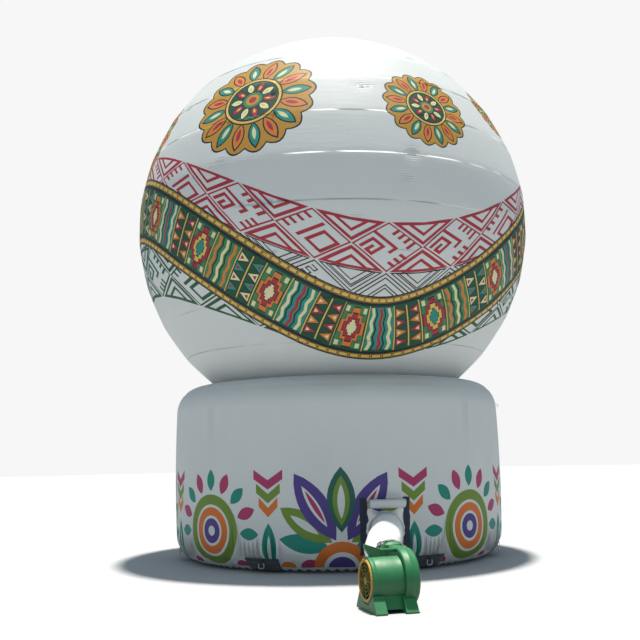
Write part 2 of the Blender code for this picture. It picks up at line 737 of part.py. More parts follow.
def barrel_saddle(frame):
    """A cutter as round as the barrel, for what is fitted to it."""
    mesh = rod_mesh(BARREL_RADIUS + 2 * SEAM_GAP, -CUTTER_REACH, JOIN_X, BLOWER_SIDES, "X")
    bmesh.ops.translate(mesh, vec=(0, 0, AXIS_HEIGHT), verts=mesh.verts)
    saddle = cutter("barrel_saddle", mesh)
    saddle.parent = frame
    return saddle


def build_base(frame, saddle):
    """The foot that cradles barrel and scroll, with an arch under it and a hollow in each side."""
    outline = [(-y, z) for y, z in BASE_OUTLINE] + [(y, z) for y, z in reversed(BASE_OUTLINE)]
    base = mesh_object("blower_base", prism_mesh(outline, BASE_FRONT, BASE_BACK), GREEN_PLASTIC)
    base.parent = frame
    cut(base, saddle)
    cradle_mesh = prism_mesh(scroll_outline(2 * SEAM_GAP), JOIN_X - 2 * SEAM_GAP, CUTTER_REACH)
    arch = cutter("base_arch", box_mesh((ARCH_FRONT, -CUTTER_REACH, -ARCH_HEIGHT),
                                        (ARCH_BACK, CUTTER_REACH, ARCH_HEIGHT)))
    bevel = arch.modifiers.new("arch_corners", "BEVEL")
    bevel.width = ARCH_CORNER
    bevel.segments = 3
    near = prism_mesh([(-y, z) for y, z in HOLLOW_OUTLINE], ARCH_FRONT, ARCH_BACK)
    far = prism_mesh(HOLLOW_OUTLINE, ARCH_FRONT, ARCH_BACK)
    cradle = cutter("scroll_cradle", cradle_mesh)
    for tool in (cradle, arch, cutter("near_hollow", near), cutter("far_hollow", far)):
        tool.parent = frame
        cut(base, tool)


def build_handle(frame, saddle):
    """The fin on top of the barrel and the bar from it to the scroll."""
    ear_mesh = prism_mesh(EAR_OUTLINE, -EAR_HALF_WIDTH, EAR_HALF_WIDTH, "Y")
    ear = mesh_object("handle_ear", ear_mesh, GREEN_PLASTIC)
    ear.parent = frame
    cut(ear, saddle)
    ear_back = EAR_OUTLINE[-1][0]
    grip = mesh_object("handle_bar", box_mesh(
        (ear_back + SEAM_GAP, *GRIP_LOW), (JOIN_X - SEAM_GAP, *GRIP_HIGH)), GREEN_PLASTIC)
    grip.parent = frame
    soft = grip.modifiers.new("grip_edges", "BEVEL")
    soft.width = GRIP_ROUND
    soft.segments = 2


def guard_opening(low, high, first, last):
    """One opening of the grille, between two rings and two arms, as a closed prism."""
    turns = [first + (last - first) * j / 2 for j in range(3)]
    outline = []
    for r, angles in ((high - GUARD_BAR / 2, turns), (low + GUARD_BAR / 2, turns[::-1])):
        trim = math.asin(GUARD_BAR / 2 / r)
        for a in angles:
            a = min(max(a, first + trim), last - trim)
            outline.append((r * math.cos(a), r * math.sin(a)))
    return prism_mesh(outline, BARREL_FRONT - CUTTER_REACH / 20, BARREL_FRONT + CUTTER_REACH / 10, "Z")


def build_intake(frame):
    """Yellow ring and the grille across it."""
    front = BARREL_FRONT + SEAM_GAP
    inner = GUARD_RADIUS + SEAM_GAP
    ring = turned("intake_ring", [
        (GUARD_RADIUS + INTAKE_CHAMFER, front + INTAKE_THICK),
        (INTAKE_RADIUS - INTAKE_CHAMFER, front + INTAKE_THICK),
        (INTAKE_RADIUS, front + INTAKE_THICK - INTAKE_CHAMFER), (INTAKE_RADIUS, front), (inner, front),
        (inner, front + INTAKE_CHAMFER),
    ], YELLOW_PLASTIC, closed=True, steps=BLOWER_SIDES)
    on_axis(ring, frame)

    disc = rod_mesh(GUARD_RADIUS - SEAM_GAP, front + GUARD_BACK, front + GUARD_FRONT, BLOWER_SIDES)
    guard = mesh_object("intake_guard", disc, GUARD_WIRE)
    on_axis(guard, frame)
    slots = bmesh.new()
    for k in range(GUARD_ARMS):
        first = 2 * math.pi * k / GUARD_ARMS
        last = 2 * math.pi * (k + 1) / GUARD_ARMS
        for low, high in zip(GUARD_RINGS, GUARD_RINGS[1:]):
            opening = guard_opening(low, high, first, last)
            scratch = bpy.data.meshes.new("slot")
            opening.to_mesh(scratch)
            opening.free()
            slots.from_mesh(scratch)
            bpy.data.meshes.remove(scratch)
    tool = cutter("guard_slots", slots)
    on_axis(tool, frame)
    cut(guard, tool)


def build_motor(frame):
    """Motor with its shaft, and the spider of four arms that carries it in the barrel."""
    motor = turned("motor", [
        (0, MOTOR_FRONT), (MOTOR_RADIUS - MOTOR_EDGE, MOTOR_FRONT), (MOTOR_RADIUS, MOTOR_FRONT - MOTOR_EDGE),
        (MOTOR_RADIUS, MOTOR_BACK), (SHAFT_RADIUS, MOTOR_BACK), (SHAFT_RADIUS, SHAFT_END), (0, SHAFT_END),
    ], DARK_METAL, steps=TUBE_SIDES)
    on_axis(motor, frame)

    inner = MOTOR_RADIUS + SEAM_GAP
    spider = turned("motor_spider", [
        (inner + SPIDER_WALL, SPIDER_FRONT), (inner + SPIDER_WALL, SPIDER_BACK), (inner, SPIDER_BACK),
        (inner, SPIDER_FRONT),
    ], DARK_METAL, closed=True, steps=TUBE_SIDES)
    on_axis(spider, frame)
    reach = (BARREL_RADIUS - PLASTIC) * math.cos(math.pi / BLOWER_SIDES) - SEAM_GAP
    for k in range(4):
        root = inner + SPIDER_WALL / 2
        arm_mesh = box_mesh((root, -ARM_HALF_WIDTH, ARM_BACK), (reach, ARM_HALF_WIDTH, ARM_FRONT))
        arm = cutter(f"spider_arm_{k + 1}", arm_mesh)
        arm.parent = frame
        lie = Matrix.Translation((0, 0, AXIS_HEIGHT)) @ Matrix.Rotation(-math.pi / 2, 4, "Y")
        arm.matrix_local = lie @ Matrix.Rotation(math.pi / 4 + k * math.pi / 2, 4, "Z")
        cut(spider, arm, "UNION")


def build_wheel(frame):
    """The fan wheel: a back disc with a hub, and a rim that is slotted into blades."""
    bore = SHAFT_RADIUS + SHAFT_CLEARANCE
    disc = WHEEL_BACK + WHEEL_DISC
    wheel = turned("impeller", [
        (WHEEL_RADIUS, WHEEL_FRONT), (WHEEL_RADIUS, WHEEL_BACK), (bore, WHEEL_BACK),
        (bore, HUB_FRONT), (HUB_RADIUS, HUB_FRONT), (HUB_RADIUS, disc),
        (WHEEL_RADIUS - WHEEL_RIM, disc), (WHEEL_RADIUS - WHEEL_RIM, WHEEL_FRONT),
    ], DARK_METAL, closed=True, steps=WHEEL_SLOTS * 2)
    on_axis(wheel, frame)
    slots = bmesh.new()
    length = WHEEL_FRONT - WHEEL_BACK - 2 * WHEEL_END_RING
    for k in range(WHEEL_SLOTS):
        turn = Matrix.Rotation(2 * math.pi * (k + 0.5) / WHEEL_SLOTS, 4, "Z")
        lean = Matrix.Translation((WHEEL_RADIUS - WHEEL_RIM / 2, 0, 0))
        lean @= Matrix.Rotation(WHEEL_SLOT_LEAN, 4, "Z")
        size = Matrix.Diagonal((HUB_RADIUS * 2, WHEEL_SLOT_WIDTH, length, 1))
        middle = Matrix.Translation((0, 0, (WHEEL_FRONT + WHEEL_BACK) / 2))
        bmesh.ops.create_cube(slots, size=1.0, matrix=turn @ lean @ middle @ size)
    tool = cutter("wheel_slots", slots)
    on_axis(tool, frame)
    cut(wheel, tool)


def outlet_middle():
    """The duct's middle, in the blower's (x, z)."""
    return (JOIN_X + SCROLL_END) / 2, AXIS_HEIGHT + SCROLL_TOP_RADIUS - OUTLET_HEIGHT / 2


def build_outlet(frame):
    """Square to round duct on the scroll, the strap round the tube on it, and the strap's buckle."""
    middle_x, middle_z = outlet_middle()
    half_x = (SCROLL_END - JOIN_X) / 2
    half_z = OUTLET_HEIGHT / 2
    bm = bmesh.new()
    rings = []
    sections = (
        (OUTLET_Y + SEAM_GAP, 0.0), (OUTLET_Y + DUCT_LIP, 0.0), (DUCT_ROUND_Y, 1.0), (DUCT_END_Y, 1.0),
    )
    for y, blend in sections:
        ring = []
        for k in range(TUBE_SIDES):
            a = 2 * math.pi * k / TUBE_SIDES
            c, s = math.cos(a), math.sin(a)
            square = 1 / max(abs(c) / half_x, abs(s) / half_z)
            reach = blend * DUCT_RADIUS + (1 - blend) * square
            ring.append(bm.verts.new((middle_x + reach * c, y, middle_z + reach * s)))
        rings.append(ring)
    for near, far in zip(rings, rings[1:]):
        for k in range(TUBE_SIDES):
            j = (k + 1) % TUBE_SIDES
            bm.faces.new((near[k], near[j], far[j], far[k]))
    bmesh.ops.recalc_face_normals(bm, faces=bm.faces)
    duct = mesh_object("outlet_duct", bm, GREEN_PLASTIC)
    duct.parent = frame
    solidify(duct, DUCT_WALL)

    inner = TUBE_BLOWER_RADIUS + SLEEVE_GAP
    outer = inner + STRAP_WALL
    strap = turned("cinch_strap", [
        (outer, STRAP_HALF_WIDTH), (outer, -STRAP_HALF_WIDTH), (inner, -STRAP_HALF_WIDTH),
        (inner, STRAP_HALF_WIDTH),
    ], NAVY_WEBBING, closed=True, steps=TUBE_SIDES)
    strap.parent = frame
    strap.location = (middle_x, STRAP_Y, middle_z)
    strap.rotation_euler = (math.pi / 2, 0, 0)

    seat = outer * math.cos(math.pi / TUBE_SIDES) + SEAM_GAP
    buckle = mesh_object("cinch_buckle", box_mesh(
        (-BUCKLE_HALF_LENGTH, -BUCKLE_HALF_WIDTH, seat),
        (BUCKLE_HALF_LENGTH, BUCKLE_HALF_WIDTH, seat + BUCKLE_THICK)), STEEL)
    buckle.parent = frame
    buckle.matrix_local = Matrix.Translation(strap.location) @ Matrix.Rotation(BUCKLE_LEAN, 4, "Y")
    edges = buckle.modifiers.new("buckle_edges", "BEVEL")
    edges.width = BUCKLE_THICK / 4
    edges.segments = 1


def build_switch(frame, saddle):
    """Switch box and cable gland on the far side of the barrel."""
    box = mesh_object("switch_box", box_mesh(SWITCH_LOW, SWITCH_HIGH), BLACK_PLASTIC)
    box.parent = frame
    cut(box, saddle)
    gland_mesh = rod_mesh(GLAND_RADIUS, GLAND_LOW, SWITCH_LOW[2] - SEAM_GAP, 12)
    gland = mesh_object("cable_gland", gland_mesh, BLACK_PLASTIC)
    gland.parent = frame
    gland.location = (*GLAND_PLACE, 0)


def tube_route():
    """The tube's axis: out of the duct, through a smooth bend, and squarely into the wall."""
    middle_x, middle_z = outlet_middle()
    start = blower_to_world((middle_x, TUBE_OVERLAP_START, middle_z))
    leave = blower_to_world((middle_x, TUBE_LEAVE, middle_z))
    wall = inlet_place()
    into = Vector((0, 1, 0))
    arrive = wall - TUBE_RUN_OUT * into
    out = (leave - start).normalized()
    pull = (arrive - leave).length * TUBE_BEND_PULL
    points = [start, leave]
    for i in range(1, TUBE_BEND_POINTS + 1):
        t = i / (TUBE_BEND_POINTS + 1)
        from_leave = 2 * t ** 3 - 3 * t ** 2 + 1
        along_out = t ** 3 - 2 * t ** 2 + t
        from_arrive = -2 * t ** 3 + 3 * t ** 2
        along_in = t ** 3 - t ** 2
        near = from_leave * leave + along_out * pull * out
        far = from_arrive * arrive + along_in * pull * into
        points.append(near + far)
    return points + [arrive, wall + TUBE_RUN_IN * into]


def build_tube():
    """The fabric tube from the blower's duct into the drum."""
    points = tube_route()
    narrow = TUBE_BLOWER_RADIUS / TUBE_WALL_RADIUS
    bend = len(points) - 3
    widening = [(i / bend) ** TUBE_FLARE_POWER for i in range(1, bend + 1)]
    radii = [narrow, narrow] + [narrow + (1 - narrow) * share for share in widening] + [1.0]
    tube = curve_object("inflation_tube", points, TUBE_WALL_RADIUS, WHITE_FABRIC, TUBE_SIDES // 2 - 2,
                        caps=False, radii=radii)
    tube = meshed(tube)
    solidify(tube, FABRIC)


build_envelope()
build_anchors()
build_tethers()
build_zip()
build_inlet()
blower = blower_frame()
saddle_tool = barrel_saddle(blower)
build_barrel(blower)
build_scroll(blower)
build_base(blower, saddle_tool)
build_handle(blower, saddle_tool)
build_intake(blower)
build_motor(blower)
build_wheel(blower)
build_outlet(blower)
build_switch(blower, saddle_tool)
build_tube()
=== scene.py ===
# %% [markdown]
# An inflatable advertising sphere: a five metre ball of printed cloth that stands on a printed drum,
# both kept up by the air of one small blower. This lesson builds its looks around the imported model.
# The real envelope is sewn from coated polyester that came off a wide printer, so most of the work
# is in two skins: their air-tight curves, their seams, and the print that was cut and sewn with them.

import math
import random

import bmesh
import bpy
import numpy as np
from mathutils import Matrix, Vector
from mathutils.geometry import delaunay_2d_cdt


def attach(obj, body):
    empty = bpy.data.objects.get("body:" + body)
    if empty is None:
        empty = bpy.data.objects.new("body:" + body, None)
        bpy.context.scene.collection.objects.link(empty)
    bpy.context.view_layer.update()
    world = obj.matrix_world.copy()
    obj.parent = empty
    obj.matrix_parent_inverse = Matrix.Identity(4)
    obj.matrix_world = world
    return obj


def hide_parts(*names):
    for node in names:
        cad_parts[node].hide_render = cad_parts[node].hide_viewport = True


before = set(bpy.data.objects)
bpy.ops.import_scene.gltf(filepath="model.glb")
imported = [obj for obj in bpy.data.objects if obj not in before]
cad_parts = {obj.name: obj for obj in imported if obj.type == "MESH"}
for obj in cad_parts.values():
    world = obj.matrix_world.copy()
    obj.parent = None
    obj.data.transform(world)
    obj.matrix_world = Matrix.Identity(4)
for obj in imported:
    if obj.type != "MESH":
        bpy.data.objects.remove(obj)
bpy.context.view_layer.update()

# %% [markdown]
# The camera stands where the photographer stood, eleven and a half metres in front of the drum's
# middle and 1.25 m above the ground, and looks a little up. The lens follows from the picture: one
# metre at one metre away covers 900 of its 640 pixels. The picture is turned by about one degree.

# %% Camera
PICTURE_SIDE = 640
FOCAL_PIXELS = 900
EYE = Vector((-0.183, -11.61, 1.246))
LOOK_UP = math.radians(8.45)
PICTURE_TILT = math.radians(-1.15)

camera_data = bpy.data.cameras.new("camera")
camera_data.lens = FOCAL_PIXELS / PICTURE_SIDE * camera_data.sensor_width
camera = bpy.data.objects.new("camera", camera_data)
bpy.context.scene.collection.objects.link(camera)
camera.matrix_world = (
    Matrix.Translation(EYE)
    @ Matrix.Rotation(math.radians(90) + LOOK_UP, 4, "X")
    @ Matrix.Rotation(PICTURE_TILT, 4, "Z")
)
bpy.context.scene.camera = camera
print("lens:", round(camera_data.lens, 1), "mm")

# %% [markdown]
# Materials come first as small helpers. Colours are written as a paint chart would give them, in
# sRGB hex, and one function turns them to the linear values that a shader adds up. One more
# function adds a node, sets its properties, and fills its sockets with values or with links.

# %% Colour and node helpers
def linear(code):
    """A hex colour such as #c13946 as linear red, green and blue with a full alpha."""
    channels = [int(code[i:i + 2], 16) / 255 for i in (1, 3, 5)]
    return (*[c / 12.92 if c <= 0.04045 else ((c + 0.055) / 1.055) ** 2.4 for c in channels], 1.0)


def add(tree, kind, sockets=(), **settings):
    """Adds a node. sockets maps an input's name or number to a value or to another node's output."""
    made = tree.nodes.new(kind)
    for name, value in settings.items():
        setattr(made, name, value)
    for socket, value in dict(sockets).items():
        if isinstance(value, bpy.types.NodeSocket):
            tree.links.new(value, made.inputs[socket])
        else:
            made.inputs[socket].default_value = value
    return made


def new_material(name):
    """An empty material and its node tree."""
    mat = bpy.data.materials.new(name)
    mat.use_nodes = True
    mat.node_tree.nodes.clear()
    return mat, mat.node_tree


def threads(tree, place, pitch):
    """Over and under threads, two sines across each other, with pitch metres from thread to thread."""
    parts = add(tree, "ShaderNodeSeparateXYZ", {0: place})
    waves = []
    for axis in "XY":
        turn = add(tree, "ShaderNodeMath", {0: parts.outputs[axis], 1: 2 * math.pi / pitch},
                   operation="MULTIPLY")
        waves.append(add(tree, "ShaderNodeMath", {0: turn.outputs[0]}, operation="SINE").outputs[0])
    return add(tree, "ShaderNodeMath", {0: waves[0], 1: waves[1]}, operation="MULTIPLY").outputs[0]


# %% [markdown]
# The scene is a plain studio with one strong soft lamp almost straight overhead, as the noon sun
# stood in the photograph: the top of the ball burns out to white, its lower half falls into grey, and
# the drum lies wholly in the ball's shade. A pale floor throws light back up, and a faint blue sky
# fills the rest. Colours go out without a film look, so that white cloth may clip as it does there.

# %% Floor, sky and lamp
FLOOR_RADIUS = 60.0
SUN_FROM = Vector((0.04, 0.07, 1.0))
SUN_STRENGTH = 6.4
SUN_ANGLE = math.radians(3)

floor_mat, floor_tree = new_material("pale_studio_floor")
floor_place = add(floor_tree, "ShaderNodeTexCoord").outputs["Object"]
floor_wear = add(floor_tree, "ShaderNodeTexNoise", {"Vector": floor_place, "Scale": 1.1}).outputs["Fac"]
floor_tone = add(floor_tree, "ShaderNodeMix", {0: floor_wear, 6: linear("#adaeb0"), 7: linear("#b4b5b7")},
                 data_type="RGBA").outputs[2]
floor_shader = add(floor_tree, "ShaderNodeBsdfPrincipled", {
    "Base Color": floor_tone, "Roughness": 0.9, "Specular IOR Level": 0.1})
add(floor_tree, "ShaderNodeOutputMaterial", {"Surface": floor_shader.outputs[0]})
floor_bm = bmesh.new()
bmesh.ops.create_circle(floor_bm, cap_ends=True, segments=128, radius=FLOOR_RADIUS)
floor_mesh = bpy.data.meshes.new("studio_floor")
floor_bm.to_mesh(floor_mesh)
floor_mesh.materials.append(floor_mat)
floor = bpy.data.objects.new("studio_floor", floor_mesh)
floor.location.z = -0.002
bpy.context.scene.collection.objects.link(floor)

world = bpy.data.worlds.new("studio")
world.use_nodes = True
sky = world.node_tree
sky_fill = add(sky, "ShaderNodeBackground", {"Color": linear("#c6dbea"), "Strength": 0.62})
sky_seen = add(sky, "ShaderNodeBackground", {"Color": (1.0, 1.0, 1.0, 1.0), "Strength": 0.93})
sky_ray = add(sky, "ShaderNodeLightPath").outputs["Is Camera Ray"]
sky_mix = add(sky, "ShaderNodeMixShader", {0: sky_ray, 1: sky_fill.outputs[0], 2: sky_seen.outputs[0]})
sky.links.new(sky_mix.outputs[0], sky.nodes["World Output"].inputs["Surface"])
bpy.context.scene.world = world

sun_data = bpy.data.lights.new("overhead_lamp", "SUN")
sun_data.energy = SUN_STRENGTH
sun_data.angle = SUN_ANGLE
sun_data.color = linear("#fffaf2")[:3]
sun = bpy.data.objects.new("overhead_lamp", sun_data)
sun.rotation_euler = SUN_FROM.to_track_quat("Z", "Y").to_euler()
bpy.context.scene.collection.objects.link(sun)
bpy.context.scene.view_settings.view_transform = "Standard"
print("lamp leans", round(math.degrees(SUN_FROM.angle(Vector((0, 0, 1))))), "degrees from overhead")

# %% [markdown]
# Every piece below is made as points and faces, computed by a formula and stored by one function.
# It lays the piece on a body of the frame, hides the CAD nodes it stands for, and keeps one fact
# that the materials ask for: where each corner lies on the flat cloth.

# %% Making a piece
def piece(name, points, faces, mat, stands_for=(), slot=None, cloth=None, smooth=35):
    """Stores a mesh piece that rides on the balloon, as all pieces but the fan wheel do. cloth holds
    each point's or each face corner's place on the flat cloth."""
    mesh = bpy.data.meshes.new(name)
    mesh.from_pydata([tuple(p) for p in points], [], [tuple(f) for f in faces])
    mesh.materials.append(mat)
    if cloth is not None:
        cloth = np.asarray(cloth, np.float32)
        if len(cloth) != len(mesh.loops):
            corners = np.empty(len(mesh.loops), np.int32)
            mesh.loops.foreach_get("vertex_index", corners)
            cloth = cloth[corners]
        mesh.uv_layers.new(name="cloth").data.foreach_set("uv", cloth.ravel())
    obj = bpy.data.objects.new(name, mesh)
    bpy.context.scene.collection.objects.link(obj)
    if smooth:
        mesh.shade_smooth()
        mesh.set_sharp_from_angle(angle=math.radians(smooth))
    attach(obj, "balloon")
    if stands_for:
        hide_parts(*stands_for)
    return obj


def grid_faces(rows, columns, closed=False):
    """Faces of a grid of points stored row by row. closed joins each row's end to its start."""
    faces = []
    for i in range(rows - 1):
        for j in range(columns if closed else columns - 1):
            k = (j + 1) % columns
            faces.append((i * columns + j, i * columns + k, (i + 1) * columns + k, (i + 1) * columns + j))
    return faces


# %% [markdown]
# A print on cloth has crisp edges, so here each printed shape is cut into the skin's own mesh: all
# outlines are drawn on the flat map of the skin, Blender's constrained triangulation weaves them
# into one sheet of triangles, and each triangle takes the ink of the last shape drawn over it.
# The inks are matched to the print in full light: maroon and black-brown for the old lattice bands,
# a deep green, and on the drum purple, teal, olive, orange and raspberry.

# %% Inks
INKS = {
    "ground": "#d0d4d3", "maroon": "#a8313f", "bark": "#3f3530", "forest": "#2c5a3c", "navy": "#1b2c33",
    "ochre": "#b98a34", "gold": "#d9b75a", "cream": "#dcd6a6", "orange": "#cf7b34", "crimson": "#a62f3e",
    "moss": "#3f8056", "teal": "#2b8b7e", "deep": "#23503c", "purple": "#4f3f86", "olive": "#6f8c38",
    "tangerine": "#d26f26", "raspberry": "#a93664", "lagoon": "#1f8676", "pine": "#2c5f55",
}
INK_NUMBER = {ink: number for number, ink in enumerate(INKS)}
INK_COLOURS = np.array([linear(code) for code in INKS.values()], np.float32)
HOLE = -1


# %% Cutting a print into a sheet
def turned_left(outline):
    """The outline with its points counterclockwise, as the triangulation wants a face."""
    area = sum(a[0] * b[1] - b[0] * a[1] for a, b in zip(outline, outline[1:] + outline[:1]))
    return outline if area > 0 else outline[::-1]


def cut_print(shapes, lines, rows, columns, extra=()):
    """Cuts shapes, a list of (ink, outline), into a sheet that runs once round the balloon.

    Points are (azimuth in degrees, second coordinate). rows are the second coordinates of the
    sheet's rows, lines those that must stay unbroken, columns the number of steps round, and
    extra more points where the surface is finely folded. Returns points, triangles and inks.
    """
    coords = []
    edges = []
    outlines = []
    inks = []
    steps = [-180 + 360 * i / columns for i in range(columns + 1)]
    for y in rows:
        first = len(coords)
        coords += [Vector((x, y)) for x in steps]
        if y in lines or y in (rows[0], rows[-1]):
            edges += [(first + i, first + i + 1) for i in range(columns)]
    side = len(steps)
    for start in (0, side - 1):
        edges += [(i * side + start, (i + 1) * side + start) for i in range(len(rows) - 1)]
    coords += [Vector(p) for p in extra if -179.9 < p[0] < 179.9]
    for ink, outline in shapes:
        outline = turned_left([tuple(p) for p in outline])
        middle = sum(p[0] for p in outline) / len(outline)
        home = -360 * round(middle / 360)
        for shift in (home - 360, home, home + 360):
            moved = [(x + shift, y) for x, y in outline]
            if max(p[0] for p in moved) <= -180 or min(p[0] for p in moved) >= 180:
                continue
            outlines.append(list(range(len(coords), len(coords) + len(moved))))
            coords += [Vector(p) for p in moved]
            inks.append(HOLE if ink == "hole" else INK_NUMBER[ink])
    points, _, faces, _, _, sources = delaunay_2d_cdt(coords, edges, outlines, 0, 1e-5, True)
    points = np.array([tuple(p) for p in points])
    kept = []
    kept_inks = []
    low, high = rows[0], rows[-1]
    for face, source in zip(faces, sources):
        middle = points[list(face)].mean(0)
        ink = inks[max(source)] if source else 0
        if ink == HOLE or abs(middle[0]) > 180 or not low < middle[1] < high:
            continue
        kept.append(face)
        kept_inks.append(ink)
    used = sorted({i for face in kept for i in face})
    place = {old: new for new, old in enumerate(used)}
    return points[used], [[place[i] for i in face] for face in kept], kept_inks


# %% [markdown]
# The flat sheet becomes a skin in two steps. Its side edges are joined at the balloon's back, and
# every point is moved to its place in space. Cut triangles are thin and uneven, and smooth shading
# over them would look creased, so the normals are measured on the true surface and stored.

# %% Sewing a printed skin
def sew_back(points, faces):
    """Joins the sheet's two side edges, which meet at the balloon's back."""
    left = sorted((y, i) for i, (x, y) in enumerate(points) if abs(x + 180) < 1e-4)
    heights = np.array([y for y, _ in left])
    partner = {}
    for i, (x, y) in enumerate(points):
        if abs(x - 180) < 1e-4:
            partner[i] = left[int(np.abs(heights - y).argmin())][1]
    kept = [i for i in range(len(points)) if i not in partner]
    place = {old: new for new, old in enumerate(kept)}
    return kept, [[place[partner.get(i, i)] for i in face] for face in faces]


# Half the span over which a skin's slope is measured, in degrees round it and in its second coordinate
NORMAL_STEP = 0.02


def printed_piece(name, shapes, lines, rows, columns, surface, flat, mat, extra=(), **facts):
    """A printed skin. surface(azimuth, y) gives points in space, and flat(azimuth, y) on the cloth."""
    points, faces, inks = cut_print(shapes, lines, rows, columns, extra)
    cloth = flat(points[:, 0], points[:, 1])[np.array(faces).ravel()]
    kept, faces = sew_back(points, faces)
    x, y = points[kept, 0], points[kept, 1]
    east = surface(x + NORMAL_STEP, y) - surface(x - NORMAL_STEP, y)
    north = surface(x, y + NORMAL_STEP) - surface(x, y - NORMAL_STEP)
    normals = np.cross(east, north)
    normals /= np.linalg.norm(normals, axis=1)[:, None]
    obj = piece(name, surface(x, y), faces, mat, cloth=cloth, smooth=0, **facts)
    ink = obj.data.attributes.new("ink", "FLOAT_COLOR", "FACE")
    ink.data.foreach_set("color", INK_COLOURS[inks].ravel())
    obj.data.shade_smooth()
    obj.data.normals_split_custom_set_from_vertices(normals)
    print(f"{name}: {len(shapes)} printed shapes, {len(faces)} triangles")
    return obj


# %% [markdown]
# The skins are one cloth: polyester woven from threads about 0.3 mm apart, coated on the inside so
# that it holds air, and printed by sublimation, which dyes the threads and adds no gloss. It is a
# slightly satiny white with a cool shade, and thin enough to let some light through: the sun on its
# top fills the ball, and the shaded front glows a little from within. The weave is far too fine for
# this picture, so it is drawn with threads 8 mm apart, and shallow creases run along the seams
# where stitches gather the cloth.

# %% Coated polyester
THREAD_DRAWN = 0.008
CREASE_LENGTH = 0.30
CREASE_WIDTH = 0.045
LIGHT_THROUGH = 0.15


def coated_polyester(name, colour=None, crease=0.0015):
    """White or printed cloth. Without a colour it takes the ink of each triangle."""
    mat, tree = new_material(name)
    place = add(tree, "ShaderNodeTexCoord").outputs["Object"]
    cloth = add(tree, "ShaderNodeUVMap", uv_map="cloth").outputs["UV"]
    drawn_out = add(tree, "ShaderNodeMapping", {
        "Vector": cloth, "Scale": (1 / CREASE_LENGTH, 1 / CREASE_WIDTH, 1.0)}).outputs[0]
    creases = add(tree, "ShaderNodeTexNoise", {
        "Vector": drawn_out, "Scale": 1.0, "Detail": 3.0}).outputs["Fac"]
    wear = add(tree, "ShaderNodeTexNoise", {"Vector": place, "Scale": 2.2, "Detail": 4.0}).outputs["Fac"]
    if colour:
        dye = linear(colour)
    else:
        dye = add(tree, "ShaderNodeAttribute", attribute_name="ink").outputs["Color"]
    worn = add(tree, "ShaderNodeHueSaturation", {
        "Color": dye, "Value": 0.93, "Saturation": 0.96}).outputs[0]
    tone = add(tree, "ShaderNodeMix", {0: wear, 6: worn, 7: dye}, data_type="RGBA").outputs[2]
    gloss = add(tree, "ShaderNodeMapRange", {
        "Value": wear, "To Min": 0.46, "To Max": 0.62}).outputs["Result"]
    relief = add(tree, "ShaderNodeMath", {0: threads(tree, cloth, THREAD_DRAWN), 1: 0.06, 2: creases},
                 operation="MULTIPLY_ADD").outputs[0]
    bump = add(tree, "ShaderNodeBump", {"Height": relief, "Distance": crease}).outputs["Normal"]
    shader = add(tree, "ShaderNodeBsdfPrincipled", {
        "Base Color": tone, "Roughness": gloss, "Specular IOR Level": 0.25, "Normal": bump})
    through = add(tree, "ShaderNodeBsdfTranslucent", {"Color": tone, "Normal": bump})
    thin = add(tree, "ShaderNodeMixShader", {
        0: LIGHT_THROUGH, 1: shader.outputs[0], 2: through.outputs[0]})
    add(tree, "ShaderNodeOutputMaterial", {"Surface": thin.outputs[0]})
    return mat


printed_polyester = coated_polyester("printed_polyester")
white_polyester = coated_polyester("white_coated_polyester", INKS["ground"])
tube_polyester = coated_polyester("bright_tube_polyester", "#f0f1ef")
grey_polyester = coated_polyester("grey_floor_polyester", "#9c9ea1")
print("cloth:", printed_polyester.name, white_polyester.name, grey_polyester.name)

# %% [markdown]
# Straps, patches and zip tape are woven from thick spun yarn, so they are matt and show ribs across.
# A real rib is about 2 mm wide. It is drawn at 4 mm, the finest that shows in a close view. The
# nap of the fastener strips is the same yarn brushed up, which gives a paler velvet edge.

# %% Woven webbing
RIB_DRAWN = 0.004


def woven_webbing(name, colour, nap=0.3):
    """Matt webbing with ribs across it, from its cloth map."""
    mat, tree = new_material(name)
    place = add(tree, "ShaderNodeTexCoord").outputs["Object"]
    cloth = add(tree, "ShaderNodeUVMap", uv_map="cloth").outputs["UV"]
    fluff = add(tree, "ShaderNodeTexNoise", {"Vector": place, "Scale": 90.0, "Detail": 3.0}).outputs["Fac"]
    pale = add(tree, "ShaderNodeHueSaturation", {"Color": linear(colour), "Value": 1.7}).outputs[0]
    tone = add(tree, "ShaderNodeMix", {0: fluff, 6: linear(colour), 7: pale}, data_type="RGBA").outputs[2]
    relief = add(tree, "ShaderNodeMath", {0: threads(tree, cloth, RIB_DRAWN), 1: 0.4, 2: fluff},
                 operation="MULTIPLY_ADD").outputs[0]
    bump = add(tree, "ShaderNodeBump", {"Height": relief, "Distance": 0.0015}).outputs["Normal"]
    shader = add(tree, "ShaderNodeBsdfPrincipled", {
        "Base Color": tone, "Roughness": 0.9, "Sheen Weight": nap, "Normal": bump})
    add(tree, "ShaderNodeOutputMaterial", {"Surface": shader.outputs[0]})
    return mat


navy_webbing = woven_webbing("navy_nylon_webbing", "#1b2432")
white_webbing = woven_webbing("white_polyester_tape", "#c8cacf")
print("webbing:", navy_webbing.name, white_webbing.name)
